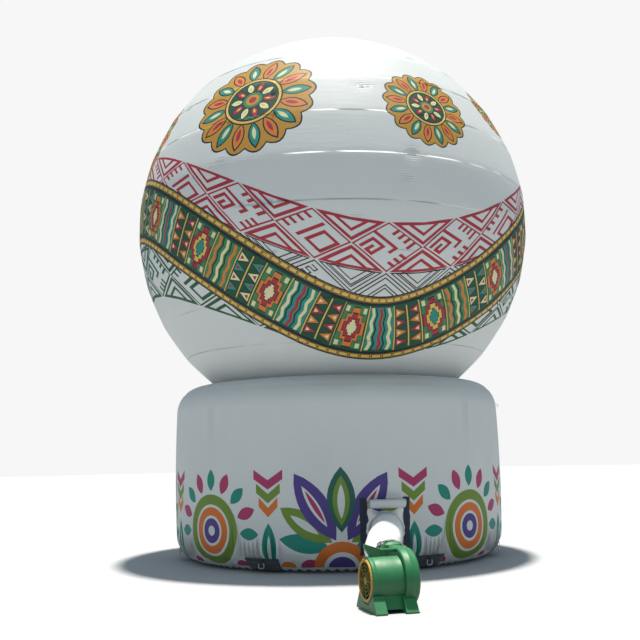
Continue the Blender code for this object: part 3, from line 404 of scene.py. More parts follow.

# %% [markdown]
# The blower's housing is rotationally moulded polyethylene: one thick hollow skin, coloured through,
# with the faint orange peel of the mould, soft edges, and a satin shine that is dull where it is
# scuffed. A little dust settles on what faces up, and what faces down is darkened with painted shade.
# The intake ring is the same kind of plastic in yellow, the wheel and the switch box in black, and
# the grille is wire dipped in an olive coat.

# %% Moulded plastic
def moulded_plastic(name, colour, roughness=0.38, dust=0.10):
    """Coloured polyethylene with orange peel, scuffs, dust on top and painted shade below."""
    mat, tree = new_material(name)
    place = add(tree, "ShaderNodeTexCoord").outputs["Object"]
    normal = add(tree, "ShaderNodeNewGeometry").outputs["Normal"]
    up = add(tree, "ShaderNodeSeparateXYZ", {0: normal}).outputs["Z"]
    peel = add(tree, "ShaderNodeTexNoise", {"Vector": place, "Scale": 120.0, "Detail": 2.0}).outputs["Fac"]
    scuffs = add(tree, "ShaderNodeTexNoise", {"Vector": place, "Scale": 14.0, "Detail": 6.0}).outputs["Fac"]
    settled = add(tree, "ShaderNodeMath", {0: up, 1: dust}, operation="MULTIPLY", use_clamp=True).outputs[0]
    patchy = add(tree, "ShaderNodeMath", {0: settled, 1: scuffs}, operation="MULTIPLY").outputs[0]
    deep = add(tree, "ShaderNodeHueSaturation", {"Color": linear(colour), "Value": 0.86}).outputs[0]
    tone = add(tree, "ShaderNodeMix", {0: scuffs, 6: deep, 7: linear(colour)}, data_type="RGBA").outputs[2]
    # Painted shade: the more a face points down, the darker it is drawn, down to a quarter of its value.
    painted_underside_shade = add(tree, "ShaderNodeMapRange", {
        "Value": up, "From Min": -1.0, "From Max": 0.7, "To Min": 0.25}).outputs["Result"]
    shade_darkened_tone = add(tree, "ShaderNodeHueSaturation", {"Color": tone, "Value": painted_underside_shade}).outputs[0]
    # The base colour is the painted-shade tone with real dust mixed over what faces up.
    dust_over_shaded_tone = add(tree, "ShaderNodeMix", {
        0: patchy, 6: shade_darkened_tone, 7: linear("#a59f92")}, data_type="RGBA").outputs[2]
    gloss = add(tree, "ShaderNodeMapRange", {
        "Value": scuffs, "To Min": roughness - 0.08, "To Max": roughness + 0.16}).outputs["Result"]
    bump = add(tree, "ShaderNodeBump", {"Height": peel, "Distance": 0.0006}).outputs["Normal"]
    shader = add(tree, "ShaderNodeBsdfPrincipled", {
        "Base Color": dust_over_shaded_tone, "Roughness": gloss, "IOR": 1.51, "Normal": bump})
    add(tree, "ShaderNodeOutputMaterial", {"Surface": shader.outputs[0]})
    return mat


green_plastic = moulded_plastic("green_polyethylene", "#0f7440", 0.46)
yellow_plastic = moulded_plastic("yellow_polyethylene", "#c9951f")
black_plastic = moulded_plastic("black_polyamide", "#1c1c1e", 0.5)
olive_wire = moulded_plastic("olive_coated_wire", "#94801c", 0.5, dust=0.0)
print("plastics:", green_plastic.name, yellow_plastic.name, black_plastic.name, olive_wire.name)

# %% [markdown]
# Rings, buckle and zip slider are zinc-plated steel, which is bright but slightly cloudy. The motor is
# cast aluminium under grey paint, rough and half matt.

# %% Metals
def plated_metal(name, colour, roughness, metallic=1.0):
    """Metal whose shine varies in clouds, as plating and castings do."""
    mat, tree = new_material(name)
    place = add(tree, "ShaderNodeTexCoord").outputs["Object"]
    clouds = add(tree, "ShaderNodeTexNoise", {"Vector": place, "Scale": 60.0, "Detail": 4.0}).outputs["Fac"]
    dull = add(tree, "ShaderNodeHueSaturation", {"Color": linear(colour), "Value": 0.75}).outputs[0]
    tone = add(tree, "ShaderNodeMix", {0: clouds, 6: dull, 7: linear(colour)}, data_type="RGBA").outputs[2]
    gloss = add(tree, "ShaderNodeMapRange", {
        "Value": clouds, "To Min": roughness + 0.12, "To Max": roughness - 0.06}).outputs["Result"]
    bump = add(tree, "ShaderNodeBump", {"Height": clouds, "Distance": 0.0003}).outputs["Normal"]
    shader = add(tree, "ShaderNodeBsdfPrincipled", {
        "Base Color": tone, "Metallic": metallic, "Roughness": gloss, "Normal": bump})
    add(tree, "ShaderNodeOutputMaterial", {"Surface": shader.outputs[0]})
    return mat


plated_steel = plated_metal("zinc_plated_steel", "#c2c4c6", 0.3)
motor_casting = plated_metal("grey_cast_aluminium", "#5c5f63", 0.5, 0.8)
print("metals:", plated_steel.name, motor_casting.name)

# %% [markdown]
# The ball is sewn from eleven ring-shaped bands of cloth, each cut to lean by twelve degrees more
# than the one above, and a flat disc on top, so its outline is a soft polygon. Air rounds each band
# a little outward and each seam stays behind as a shallow valley. Where the thread holds the cloth
# short, it puckers into small ridges along the seam. Everything is one formula of two angles.

# %% Shape of the ball
BALL_RADIUS = 2.50
BAND_ANGLE = 12.0
CAP_ANGLE = 11.0
BAND_COUNT = 11
NECK_ANGLE = CAP_ANGLE + BAND_COUNT * BAND_ANGLE
DRUM_HEIGHT = 2.10
BALL_CENTRE_Z = DRUM_HEIGHT - BALL_RADIUS * math.cos(math.radians(NECK_ANGLE))
BAND_FULLNESS = 0.42
SEAM_DEPTH = 0.002
SEAM_HALF_WIDTH = 0.028
RIPPLE_REACH = 0.12
# Ripples beside the seams: height in metres, waves round the ball, and shift from band to band
SEAM_RIPPLES = ((0.0008, 19, 1.7), (0.0005, 31, 2.9))
SAG_HEIGHT = 0.004
PUCKER_DEPTH = 0.006
RIDGE_HEIGHT = 0.005
RIDGE_PITCH = 0.026
NECK_RADIUS = BALL_RADIUS * math.sin(math.radians(NECK_ANGLE))

random.seed(19)
SEAM_LATITUDES = [90 - CAP_ANGLE - BAND_ANGLE * i for i in range(BAND_COUNT + 1)]
# Puckers seen in the photograph: azimuth, latitude and reach in metres
SEEN_PUCKERS = [(-17, 26, 0.11), (9, 27, 0.14), (20, 7, 0.13), (18, 1, 0.10), (-30, 7, 0.11),
                (33, 45, 0.09), (53, 30, 0.10), (5, -9, 0.10)]
puckers = list(SEEN_PUCKERS)
for seam in SEAM_LATITUDES[1:-1]:
    for _ in range(3):
        puckers.append((random.uniform(50, 320), seam + random.uniform(-0.6, 0.6),
                        random.uniform(0.07, 0.13)))


def angle_between(x, centre):
    """Difference of two azimuths in degrees, the short way round."""
    return (x - centre + 180) % 360 - 180


def ball_surface(azimuth, latitude):
    """Points of the inflated ball. Azimuth counts from -Y towards +X."""
    polar = 90 - latitude
    band = np.clip(np.floor((polar - CAP_ANGLE) / BAND_ANGLE), 0, BAND_COUNT - 1)
    from_middle = polar - CAP_ANGLE - (band + 0.5) * BAND_ANGLE
    half = math.radians(BAND_ANGLE / 2)
    chord = BALL_RADIUS * math.cos(half) / np.cos(np.radians(from_middle))
    radius = chord + (BALL_RADIUS - chord) * BAND_FULLNESS
    to_seam = np.radians(BAND_ANGLE / 2 - np.abs(from_middle)) * BALL_RADIUS
    radius -= SEAM_DEPTH * np.exp(-(to_seam / SEAM_HALF_WIDTH) ** 2)
    a = np.radians(azimuth)
    pull = np.exp(-to_seam / RIPPLE_REACH)
    radius += pull * sum(h * np.sin(waves * a + band * shift) for h, waves, shift in SEAM_RIPPLES)
    radius += SAG_HEIGHT * np.sin(3 * a + band) * np.cos(np.radians(latitude * 5))
    ring = BALL_RADIUS * np.sin(np.radians(polar))
    for where, height, reach in puckers:
        across = np.radians(angle_between(azimuth, where)) * ring
        along = np.radians(latitude - height) * BALL_RADIUS
        pinch = np.exp(-(across / reach) ** 2 * 2 - (along / reach) ** 2 * 5)
        radius += pinch * (RIDGE_HEIGHT * np.cos(2 * math.pi * along / RIDGE_PITCH) - PUCKER_DEPTH)
    r = radius * np.sin(np.radians(polar))
    z = BALL_CENTRE_Z + radius * np.cos(np.radians(polar))
    return np.stack([r * np.sin(a), -r * np.cos(a), z], axis=-1)


def ball_flat(azimuth, latitude):
    """Metres along and across the cloth of the ball."""
    ring = BALL_RADIUS * np.cos(np.radians(np.round((latitude - 7) / BAND_ANGLE) * BAND_ANGLE + 7))
    return np.stack([np.radians(azimuth) * ring, np.radians(latitude) * BALL_RADIUS], axis=-1)


# %% [markdown]
# Rows of points lie closest beside the seams, where the cloth bends most, and a small patch of extra
# points follows each pucker. The rest of the mesh can be coarse, because it is smooth there.

# %% Rows and extra points of the ball
ROW_STEPS = (0.0, 0.3, 0.8, 1.7, 3.8, 6.0, 8.2, 10.3, 11.2, 11.7)
BALL_COLUMNS = 192
ball_rows = sorted({round(seam - step, 3) for seam in SEAM_LATITUDES[:-1] for step in ROW_STEPS}
                   | {SEAM_LATITUDES[-1]})
pucker_points = []
for where, height, reach in puckers:
    ring = BALL_RADIUS * math.cos(math.radians(height))
    for i in range(-6, 7):
        for j in range(-8, 9):
            x = where + math.degrees(reach * 1.1 * i / 6 / ring)
            y = height + math.degrees(reach * 0.75 * (j + 0.13) / 8 / BALL_RADIUS)
            pucker_points.append((angle_between(x, 0), y))
print("puckers:", len(puckers), "rows:", len(ball_rows))

# %% [markdown]
# Three bands of an old woven lattice run round the ball, maroon, bark brown and forest green, each
# under the last and all rising and falling twice on the way round. A lattice tile is a lozenge of
# bars, drawn in its own two directions, across to the right and across to the left. Two tiles take
# turns: an eye of nested bars, and a comb with a hook. Triangles fill the borders between them.

# %% Lattice tiles
TILES_ROUND = 19
TILE_WIDTH = 360 / TILES_ROUND
FIRST_CROSSING = 22.8
STREET = 0.085

# Bars of each tile as (from, to) in lozenge coordinates, 0 to 1 along its two sides
EYE_TILE = [
    ((0, 0), (1, 0)), ((1, 0), (1, 1)), ((1, 1), (0, 1)), ((0, 1), (0, 0)),
    ((0.56, 0.26), (0.90, 0.26)), ((0.90, 0.26), (0.90, 0.74)), ((0.90, 0.74), (0.56, 0.74)),
    ((0.56, 0.74), (0.56, 0.26)), ((0.40, 0.14), (0.40, 0.80)),
    ((0, 0.22), (0.15, 0.22)), ((0, 0.42), (0.15, 0.42)),
    ((0, 0.62), (0.15, 0.62)), ((0, 0.80), (0.15, 0.80)),
]
COMB_TILE = [
    ((0, 0), (1, 0)), ((1, 0), (1, 1)), ((1, 1), (0, 1)), ((0, 1), (0, 0)),
    ((0, 0.40), (0.62, 0.40)), ((0.62, 0.40), (0.62, 0.56)),
    ((0.14, 0.56), (0.14, 0.88)), ((0.14, 0.56), (0.42, 0.56)), ((0.42, 0.56), (0.42, 0.88)),
    ((0.28, 0.72), (0.28, 0.88)), ((0.28, 0.88), (0.42, 0.88)),
    ((0.30, 0), (0.30, 0.15)), ((0.46, 0), (0.46, 0.15)),
    ((0.62, 0), (0.62, 0.15)), ((0.78, 0), (0.78, 0.22)),
    ((1, 0.46), (0.84, 0.46)), ((1, 0.62), (0.84, 0.62)), ((1, 0.78), (0.84, 0.78)),
]
FINE_RINGS = [(0.03, 0.97), (0.11, 0.89), (0.24, 0.76), (0.31, 0.69)]


def ring_bars(low, high):
    """The four bars of a lozenge ring."""
    corners = [(low, low), (high, low), (high, high), (low, high)]
    return list(zip(corners, corners[1:] + corners[:1]))


def meander(across, start, stop, teeth, depth):
    """The bars of a square wave that runs along one side of a lozenge."""
    step = (stop - start) / teeth / 2
    corners = [(across, start)]
    for i in range(teeth):
        far = start + step * (2 * i + 1)
        corners += [(across + depth, corners[-1][1]), (across + depth, far),
                    (across, far), (across, far + step)]
    return list(zip(corners, corners[1:]))


# %% [markdown]
# A band has a top and a bottom edge, each a wave round the ball. A tile's own directions are turned
# to azimuth and height between the edges, so the tiles follow the band as it rises and falls.

# %% Laying tiles along a band
def band_point(band, u, v):
    """A point of a band: u is azimuth, v runs from 0 at its top edge to 1 at its bottom edge."""
    swing = math.cos(math.radians(2 * (u - 15)))
    top = band["top"][0] + band["top"][1] * swing
    bottom = band["bottom"][0] + band["bottom"][1] * swing
    return u, 90 - (top + (bottom - top) * v)


def lattice_tile(band, middle, bars, half):
    """Bars of one lozenge as outlines on the ball."""
    shapes = []
    for (p0, q0), (p1, q1) in bars:
        p0, p1 = sorted((p0, p1))
        q0, q1 = sorted((q0, q1))
        p0, q0, p1, q1 = max(p0 - half, 0), max(q0 - half, 0), min(p1 + half, 1), min(q1 + half, 1)
        corners = [(p0, q0), (p1, q0), (p1, q1), (p0, q1)]
        outline = [band_point(band, middle + (p - q) * TILE_WIDTH / 2, (p + q) / 2) for p, q in corners]
        shapes.append((band["ink"], outline))
    return shapes


def lattice_triangle(band, middle, edge, levels):
    """Nested triangles on the band's border: levels are (ink, side inset, base inset) from outside in."""
    shapes = []
    for ink, inset, base in levels:
        half = TILE_WIDTH / 2 * (1 - inset - base)
        tip = 0.5 * (1 - inset)
        corners = [(middle - half, base / 2), (middle, base / 2), (middle + half, base / 2), (middle, tip)]
        if edge:
            corners = [(u, 1 - v) for u, v in corners]
        shapes.append((ink, [band_point(band, u, v) for u, v in corners]))
    return shapes


def lattice_band(band):
    """All tiles and border triangles of one band."""
    shapes = []
    bold = band["style"] == "bold"
    half = 0.038 if bold else 0.015
    for k in range(TILES_ROUND):
        crossing = FIRST_CROSSING + k * TILE_WIDTH
        if bold:
            bars = EYE_TILE if k % 2 else COMB_TILE
            levels = [(band["ink"], STREET, 0.0), ("ground", STREET + 0.15, 0.11),
                      (band["ink"], STREET + 0.36, 0.0), ("ground", STREET + 0.50, 0.11)]
        else:
            bars = [bar for ring in FINE_RINGS for bar in ring_bars(*ring)]
            if k % 2:
                bars = ring_bars(0.03, 0.97) + meander(0.10, 0.16, 0.92, 4, 0.13)
                bars += [((q, p), (s, r)) for (p, q), (r, s) in meander(0.84, 0.10, 0.70, 3, 0.10)]
                bars += [bar for ring in ((0.34, 0.80), (0.41, 0.73)) for bar in ring_bars(*ring)]
            levels = []
            for inset in (STREET, STREET + 0.16, STREET + 0.24, STREET + 0.44):
                levels += [(band["ink"], inset, 0.02), ("ground", inset + 0.055, 0.06)]
        shapes += lattice_tile(band, crossing + TILE_WIDTH / 2, bars, half)
        for edge in (0, 1):
            shapes += lattice_triangle(band, crossing, edge, levels)
    return shapes


# Each edge is polar angle in degrees: its mean, and its swing twice round the ball
LATTICE_BANDS = [
    {"ink": "maroon", "style": "bold", "top": (86.0, 14.5), "bottom": (98.5, 14.2)},
    {"ink": "bark", "style": "fine", "top": (98.5, 14.2), "bottom": (111.4, 14.2)},
    {"ink": "forest", "style": "bold", "top": (111.4, 14.2), "bottom": (123.6, 12.0)},
]
ball_print = [shape for band in LATTICE_BANDS for shape in lattice_band(band)]
print("lattice shapes:", len(ball_print))

# %% [markdown]
# Over the lattice lies a broad woven sash in deep green, gold and warm colours. It winds round the
# ball like a loose belt that sags in front and behind and rises at both sides. It is made
# of cells of one length, and three woven figures take turns in them: a stepped diamond, a row of
# zigzags, and a row of triangles. A point of the sash is (s, n): s counts cells along its middle
# line, and n runs across it from -1 to 1.

# %% Sash
SASH_MIDDLE = 107.0
SASH_SWING = 21.0
SASH_LOW_AZIMUTH = 12.0
SASH_HALF_WIDTH = 0.40
SASH_CELLS = 51
sash_azimuths = np.linspace(0, 360, 3601)
sash_polars = SASH_MIDDLE + SASH_SWING * np.cos(2 * np.radians(sash_azimuths - SASH_LOW_AZIMUTH))
sash_rings = np.sin(np.radians(sash_polars))
sash_steps = np.hypot(np.diff(sash_azimuths) * sash_rings[1:], np.diff(sash_polars))
sash_lengths = np.concatenate([[0], np.cumsum(sash_steps)])
sash_lengths *= SASH_CELLS / sash_lengths[-1]


def sash_point(s, n):
    """Azimuth and latitude of a point of the sash."""
    whole = math.floor(s / SASH_CELLS)
    azimuth = float(np.interp(s - whole * SASH_CELLS, sash_lengths, sash_azimuths)) + 360 * whole
    swing = 2 * math.radians(azimuth - SASH_LOW_AZIMUTH)
    polar = SASH_MIDDLE + SASH_SWING * math.cos(swing)
    ring = math.sin(math.radians(polar))
    east, down = ring, -2 * SASH_SWING * math.sin(swing) * math.pi / 180
    size = math.hypot(east, down)
    reach = math.degrees(n * SASH_HALF_WIDTH / BALL_RADIUS)
    return azimuth + reach * down / size / ring, 90 - (polar - reach * east / size)


def on_sash(s, corners, steps=1):
    """An outline on the sash: corners are (along the cell, across the sash), sides in steps."""
    outline = []
    for a, b in zip(corners, corners[1:] + corners[:1]):
        for k in range(steps):
            u = k / steps
            outline.append(sash_point(s + a[0] + (b[0] - a[0]) * u, a[1] + (b[1] - a[1]) * u))
    return outline


# %% [markdown]
# Each figure is a list of inked outlines inside one cell. What comes later in a list is drawn over
# what came before, so a dark shape under a slightly smaller bright one gives it a dark outline.

# %% Woven figures
def oblong(s0, s1, n0, n1):
    """An upright rectangle in a cell of the sash."""
    return [(s0, n0), (s1, n0), (s1, n1), (s0, n1)]


def stepped(half_length, half_width, count=3):
    """A diamond with stair edges about the middle of a cell."""
    quarter = []
    for i in range(count):
        along = half_length * (count - i) / count
        quarter += [(along, half_width * i / count), (along, half_width * (i + 1) / count)]
    top = quarter
    left = [(-a, n) for a, n in reversed(top)]
    bottom = [(-a, -n) for a, n in top]
    right = [(a, -n) for a, n in reversed(top)]
    return [(0.5 + a, n) for a, n in top + left + bottom + right]


def diamond_cell(tones):
    """Nested stepped diamonds with corner blocks."""
    shapes = [("moss", oblong(0.06, 0.94, -0.66, 0.66))]
    shapes += [("cream", oblong(a, a + 0.13, n, n + 0.16)) for a in (0.10, 0.77) for n in (-0.62, 0.46)]
    for tone, length, width in zip(tones, (0.42, 0.29, 0.16), (0.60, 0.42, 0.24)):
        shapes.append(("navy", stepped(length + 0.025, width + 0.04)))
        shapes.append((tone, stepped(length, width)))
    return shapes


def zigzag_cell(tones):
    """Zigzag stripes across the sash."""
    shapes = [(tones[0], oblong(0.04, 0.96, -0.66, 0.66))]
    for k, tone in enumerate((tones[1], "navy", tones[2], "navy", tones[1])):
        start = 0.08 + 0.16 * k
        width = 0.05 if tone == "navy" else 0.11
        near = [(start + (0.07 if i % 2 else 0.0), -0.66 + 1.32 * i / 6) for i in range(7)]
        shapes.append((tone, near + [(a + width, n) for a, n in reversed(near)]))
    return shapes


def triangle_cell(tones):
    """Two rows of triangles that point at each other across a bar."""
    shapes = [("deep", oblong(0.04, 0.96, -0.66, 0.66)), ("navy", oblong(0.455, 0.545, -0.66, 0.66)),
              ("gold", oblong(0.475, 0.525, -0.66, 0.66))]
    for i in range(4):
        n = -0.62 + 0.31 * i
        for foot, tip, tone in ((0.07, 0.43, tones[i % 2]), (0.93, 0.57, tones[(i + 1) % 2])):
            point = tip + (tip - foot) * 0.06
            shapes.append(("navy", [(foot, n - 0.01), (point, n + 0.155), (foot, n + 0.32)]))
            shapes.append((tone, [(foot, n + 0.02), (tip, n + 0.155), (foot, n + 0.29)]))
            heart = foot + (tip - foot) * 0.12
            heart_tip = foot + (tip - foot) * 0.5
            shapes.append((tones[2], [(heart, n + 0.09), (heart_tip, n + 0.155), (heart, n + 0.22)]))
    return shapes


# %% [markdown]
# The figures take turns along the sash, in two sets of colours. Dark and ochre stripes with gold
# beads edge it on both sides.

# %% Print the sash
SASH_PATTERNS = [
    (diamond_cell, ("orange", "crimson", "cream")), (zigzag_cell, ("teal", "cream", "crimson")),
    (triangle_cell, ("crimson", "orange", "cream")), (diamond_cell, ("crimson", "gold", "teal")),
    (zigzag_cell, ("moss", "orange", "cream")), (triangle_cell, ("teal", "cream", "crimson")),
]
# Stripes along the sash, the widest first: ink and share of the half width
SASH_EDGES = [("navy", 1.0), ("ochre", 0.96), ("navy", 0.80), ("deep", 0.72)]
BEADS_A_CELL = 3
for k in range(SASH_CELLS):
    for ink, n in SASH_EDGES:
        ball_print.append((ink, on_sash(k, oblong(0, 1, -n, n), 3)))
    for sign in (-1, 1):
        for i in range(BEADS_A_CELL):
            start = (i + 0.12) / BEADS_A_CELL
            stop = (i + 0.88) / BEADS_A_CELL
            n0, n1 = sorted((sign * 0.83, sign * 0.93))
            ball_print.append(("navy", on_sash(k, oblong(start - 0.02, stop + 0.02, n0 - 0.02, n1 + 0.02))))
            ball_print.append(("gold", on_sash(k, oblong(start, stop, n0, n1))))
    make, tones = SASH_PATTERNS[k % len(SASH_PATTERNS)]
    ball_print += [(ink, on_sash(k, corners)) for ink, corners in make(tones)]
    ball_print.append(("gold", on_sash(k, oblong(-0.02, 0.02, -0.70, 0.70))))
sash_metres = math.radians(sash_steps.sum()) * BALL_RADIUS
print("sash:", SASH_CELLS, "cells of", round(sash_metres / SASH_CELLS, 2), "m")

# %% [markdown]
# Above the sash shine rosettes: a scalloped ochre disc under two rings of pointed petals, each petal
# outlined in navy with a paler heart. They are drawn in metres about a middle point on the ball.

# %% Rosettes
def about_point(azimuth, latitude):
    """A function from metres east and north of a point on the ball to (azimuth, latitude)."""
    a, b = math.radians(azimuth), math.radians(latitude)
    middle = Vector((math.sin(a) * math.cos(b), -math.cos(a) * math.cos(b), math.sin(b)))
    east = Vector((math.cos(a), math.sin(a), 0))
    north = middle.cross(east)

    def place(x, y):
        reach = math.hypot(x, y) / BALL_RADIUS
        way = (east * x + north * y).normalized() if reach else east
        p = middle * math.cos(reach) + way * math.sin(reach)
        found = math.degrees(math.atan2(p.x, -p.y))
        return azimuth + angle_between(found, azimuth), math.degrees(math.asin(p.z))
    return place


def disc(radius, scallops=0, depth=0.0, steps=48):
    """A round outline, or one with scallops, in metres."""
    turns = [2 * math.pi * i / steps for i in range(steps)]
    reach = [radius - depth * (1 - abs(math.sin(scallops * a / 2))) if scallops else radius for a in turns]
    return [(r * math.cos(a), r * math.sin(a)) for r, a in zip(reach, turns)]


def petal(start, stop, half_width, turn, steps=6):
    """A pointed petal from start to stop along a ray, widest in the middle."""
    side = [(start + (stop - start) * i / steps, half_width * math.sin(math.pi * i / steps) ** 0.8)
            for i in range(steps + 1)]
    outline = side + [(r, -w) for r, w in reversed(side[1:-1])]
    c, s = math.cos(turn), math.sin(turn)
    return [(r * c - w * s, r * s + w * c) for r, w in outline]


def rosette(azimuth, latitude, size, petals=16, inner=10):
    """A sunburst rosette of a given radius in metres."""
    flat = [("navy", disc(1.03, petals, 0.10, 96)), ("ochre", disc(1.0, petals, 0.10, 96))]
    for i in range(petals):
        turn = 2 * math.pi * (i + 0.5) / petals
        tone, heart = (("teal", "cream"), ("orange", "crimson"))[i % 2]
        for ink, start, stop, width in (("navy", 0.46, 0.96, 0.105), (tone, 0.49, 0.92, 0.082),
                                        (heart, 0.56, 0.80, 0.034)):
            flat.append((ink, petal(start, stop, width, turn)))
    flat += [("navy", disc(0.50)), ("gold", disc(0.475)), ("navy", disc(0.435)), ("deep", disc(0.415))]
    for i in range(inner):
        turn = 2 * math.pi * i / inner
        tone = ("crimson", "cream")[i % 2]
        flat.append(("navy", petal(0.15, 0.405, 0.075, turn)))
        flat.append((tone, petal(0.17, 0.385, 0.055, turn)))
        flat.append(("gold", petal(0.21, 0.31, 0.020, turn)))
    flat += [("navy", disc(0.185)), ("moss", disc(0.165)), ("ochre", disc(0.115)),
             ("crimson", disc(0.065, steps=24))]
    place = about_point(azimuth, latitude)
    return [(ink, [place(x * size, y * size) for x, y in outline]) for ink, outline in flat]


# Azimuth, latitude and radius in metres
ROSETTES = [
    (-23, 25, 0.72), (27, 22, 0.52), (62, 30, 0.36), (104, 27, 0.60),
    (150, 30, 0.40), (192, 24, 0.72), (238, 28, 0.44), (286, 26, 0.60),
]
for azimuth, latitude, size in ROSETTES:
    ball_print += rosette(azimuth, latitude, size)
print("printed shapes on the ball:", len(ball_print))

# %% [markdown]
# Now the ball is sewn in one go. Its points come from the formula of its shape, its faces from the
# print that was cut into it, and the seams are kept as unbroken lines of edges through every motif.

# %% Sew the ball
ball = printed_piece(
    "ball_skin", ball_print, SEAM_LATITUDES, ball_rows, BALL_COLUMNS, ball_surface, ball_flat,
    printed_polyester, pucker_points, stands_for=("sphere_envelope",), slot="white_coated_fabric",
)

# %% [markdown]
# A flat disc of cloth closes the ball's top. The pull of the seam leaves it a little domed.

# %% Cap of the ball
CAP_RISE = 0.02
CAP_ROWS = 14
CAP_COLUMNS = 120


def round_sheet(radii, heights, columns):
    """Grid points of a turned sheet about the upright axis."""
    turns = np.linspace(0, 2 * math.pi, columns, endpoint=False)
    rows = [np.stack([r * np.sin(turns), -r * np.cos(turns), np.full(columns, z)], -1)
            for r, z in zip(radii, heights)]
    return np.concatenate(rows)


cap_radius = BALL_RADIUS * math.sin(math.radians(CAP_ANGLE)) - 0.002
cap_height = BALL_CENTRE_Z + BALL_RADIUS * math.cos(math.radians(CAP_ANGLE))
cap_radii = cap_radius * np.linspace(1, 0.01, CAP_ROWS)
cap_heights = cap_height + CAP_RISE * (1 - (cap_radii / cap_radius) ** 2)
cap_points = round_sheet(cap_radii, cap_heights, CAP_COLUMNS)
cap_turn = np.arctan2(cap_points[:, 0], -cap_points[:, 1])
cap_edge = (np.hypot(cap_points[:, 0], cap_points[:, 1]) / cap_radius) ** 8
cap_points[:, 2] += cap_edge * 0.003 * np.sin(27 * cap_turn)
cap_faces = grid_faces(CAP_ROWS, CAP_COLUMNS, closed=True)
cap_faces.append(tuple(range((CAP_ROWS - 1) * CAP_COLUMNS, CAP_ROWS * CAP_COLUMNS)))
cap = piece("ball_cap_disc", cap_points, cap_faces, white_polyester, stands_for=("sphere_top_cap",),
            slot="white_coated_fabric", cloth=cap_points[:, :2])
print("cap:", round(2 * cap_radius, 2), "m across")

# %% [markdown]
# The drum is one cylinder of cloth with a rounded shoulder and foot. Its profile is two quarter arcs
# and a wall that bellies out by 15 mm, and w is the length along that profile from the floor seam up,
# so that (azimuth, w) is the flat cloth. Seams run round at the shoulder and at the foot, and the
# air-filled cloth ripples beside them.

# %% Shape of the drum
DRUM_RADIUS = 2.015
DRUM_BULGE = 0.015
TOP_ROUND = 0.33
FOOT_ROUND = 0.30
WALL_HEIGHT = DRUM_HEIGHT - TOP_ROUND - FOOT_ROUND
FOOT_LENGTH = FOOT_ROUND * math.pi / 2
TOP_LENGTH = TOP_ROUND * math.pi / 2
DRUM_LENGTH = FOOT_LENGTH + WALL_HEIGHT + TOP_LENGTH
SHOULDER_SEAM_HEIGHT = 2.0
FOOT_SEAM_HEIGHT = 0.10
SEAM_DIP = 0.005
SEAM_DIP_WIDTH = 0.02
DRUM_RIPPLE_REACH = 0.10
# Ripples beside the drum's seams: height in metres, waves round the drum, and shift between seams
DRUM_RIPPLES = ((0.0014, 17, 5), (0.0008, 29, 2))


def drum_line(w):
    """Radius, height and outward direction of the drum's profile, w metres up along it."""
    w = np.asarray(w, float)
    foot = np.clip(w / FOOT_LENGTH, 0, 1) * math.pi / 2
    top = np.clip((w - FOOT_LENGTH - WALL_HEIGHT) / TOP_LENGTH, 0, 1) * math.pi / 2
    rise = np.clip((w - FOOT_LENGTH) / WALL_HEIGHT, 0, 1)
    radius = (DRUM_RADIUS + DRUM_BULGE * 4 * rise * (1 - rise)
              - FOOT_ROUND * (1 - np.sin(foot)) - TOP_ROUND * (1 - np.cos(top)))
    height = FOOT_ROUND * (1 - np.cos(foot)) + WALL_HEIGHT * rise + TOP_ROUND * np.sin(top)
    lean = top - (math.pi / 2 - foot)
    return radius, height, np.cos(lean), np.sin(lean)


def drum_w(z):
    """The length along the profile at a height."""
    z = np.asarray(z, float)
    foot = FOOT_ROUND * np.arccos(np.clip(1 - z / FOOT_ROUND, -1, 1))
    top = TOP_ROUND * np.arcsin(np.clip((z - DRUM_HEIGHT + TOP_ROUND) / TOP_ROUND, 0, 1))
    wall = FOOT_LENGTH + np.minimum(z, DRUM_HEIGHT - TOP_ROUND) - FOOT_ROUND + top
    return np.where(z < FOOT_ROUND, foot, wall)


DRUM_SEAMS = (float(drum_w(FOOT_SEAM_HEIGHT)), float(drum_w(SHOULDER_SEAM_HEIGHT)))


def drum_surface(azimuth, w, out=0.0):
    """Points of the drum's skin, or out metres in front of it."""
    azimuth = np.asarray(azimuth, float)
    radius, height, nr, nz = drum_line(w)
    a = np.radians(azimuth)
    dent = 0.0
    for number, seam in enumerate(DRUM_SEAMS):
        off = np.abs(w - seam)
        dent = dent - SEAM_DIP * np.exp(-(off / SEAM_DIP_WIDTH) ** 2)
        ripples = sum(h * np.sin(waves * a + shift * number) for h, waves, shift in DRUM_RIPPLES)
        dent = dent + np.exp(-off / DRUM_RIPPLE_REACH) * ripples
    edge = np.minimum(np.asarray(w, float), DRUM_LENGTH - w) / 0.05
    dent = dent * np.clip(edge, 0, 1)
    r = radius + nr * (dent + out)
    return np.stack([r * np.sin(a), -r * np.cos(a), height + nz * (dent + out)], axis=-1)


def drum_flat(azimuth, w):
    """Metres along and up the flat cloth of the drum."""
    return np.stack([np.radians(azimuth) * DRUM_RADIUS, np.asarray(w, float)], axis=-1)


print("drum cloth:", round(2 * math.pi * DRUM_RADIUS, 2), "x", round(DRUM_LENGTH, 2), "m")

# %% [markdown]
# The air comes in through a round hole low in the front of the drum, a little to the right. On the
# flat cloth the hole is an oval, because the tube meets the curved wall straight from the front.

# %% Inlet hole in the drum
INLET_AZIMUTH = 13.2
INLET_HEIGHT = 0.45
TUBE_WALL_RADIUS = 0.188
HOLE_SIDES = 48
inlet_radius = float(drum_line(drum_w(INLET_HEIGHT))[0])
INLET = Vector((inlet_radius * math.sin(math.radians(INLET_AZIMUTH)),
                -inlet_radius * math.cos(math.radians(INLET_AZIMUTH)), INLET_HEIGHT))


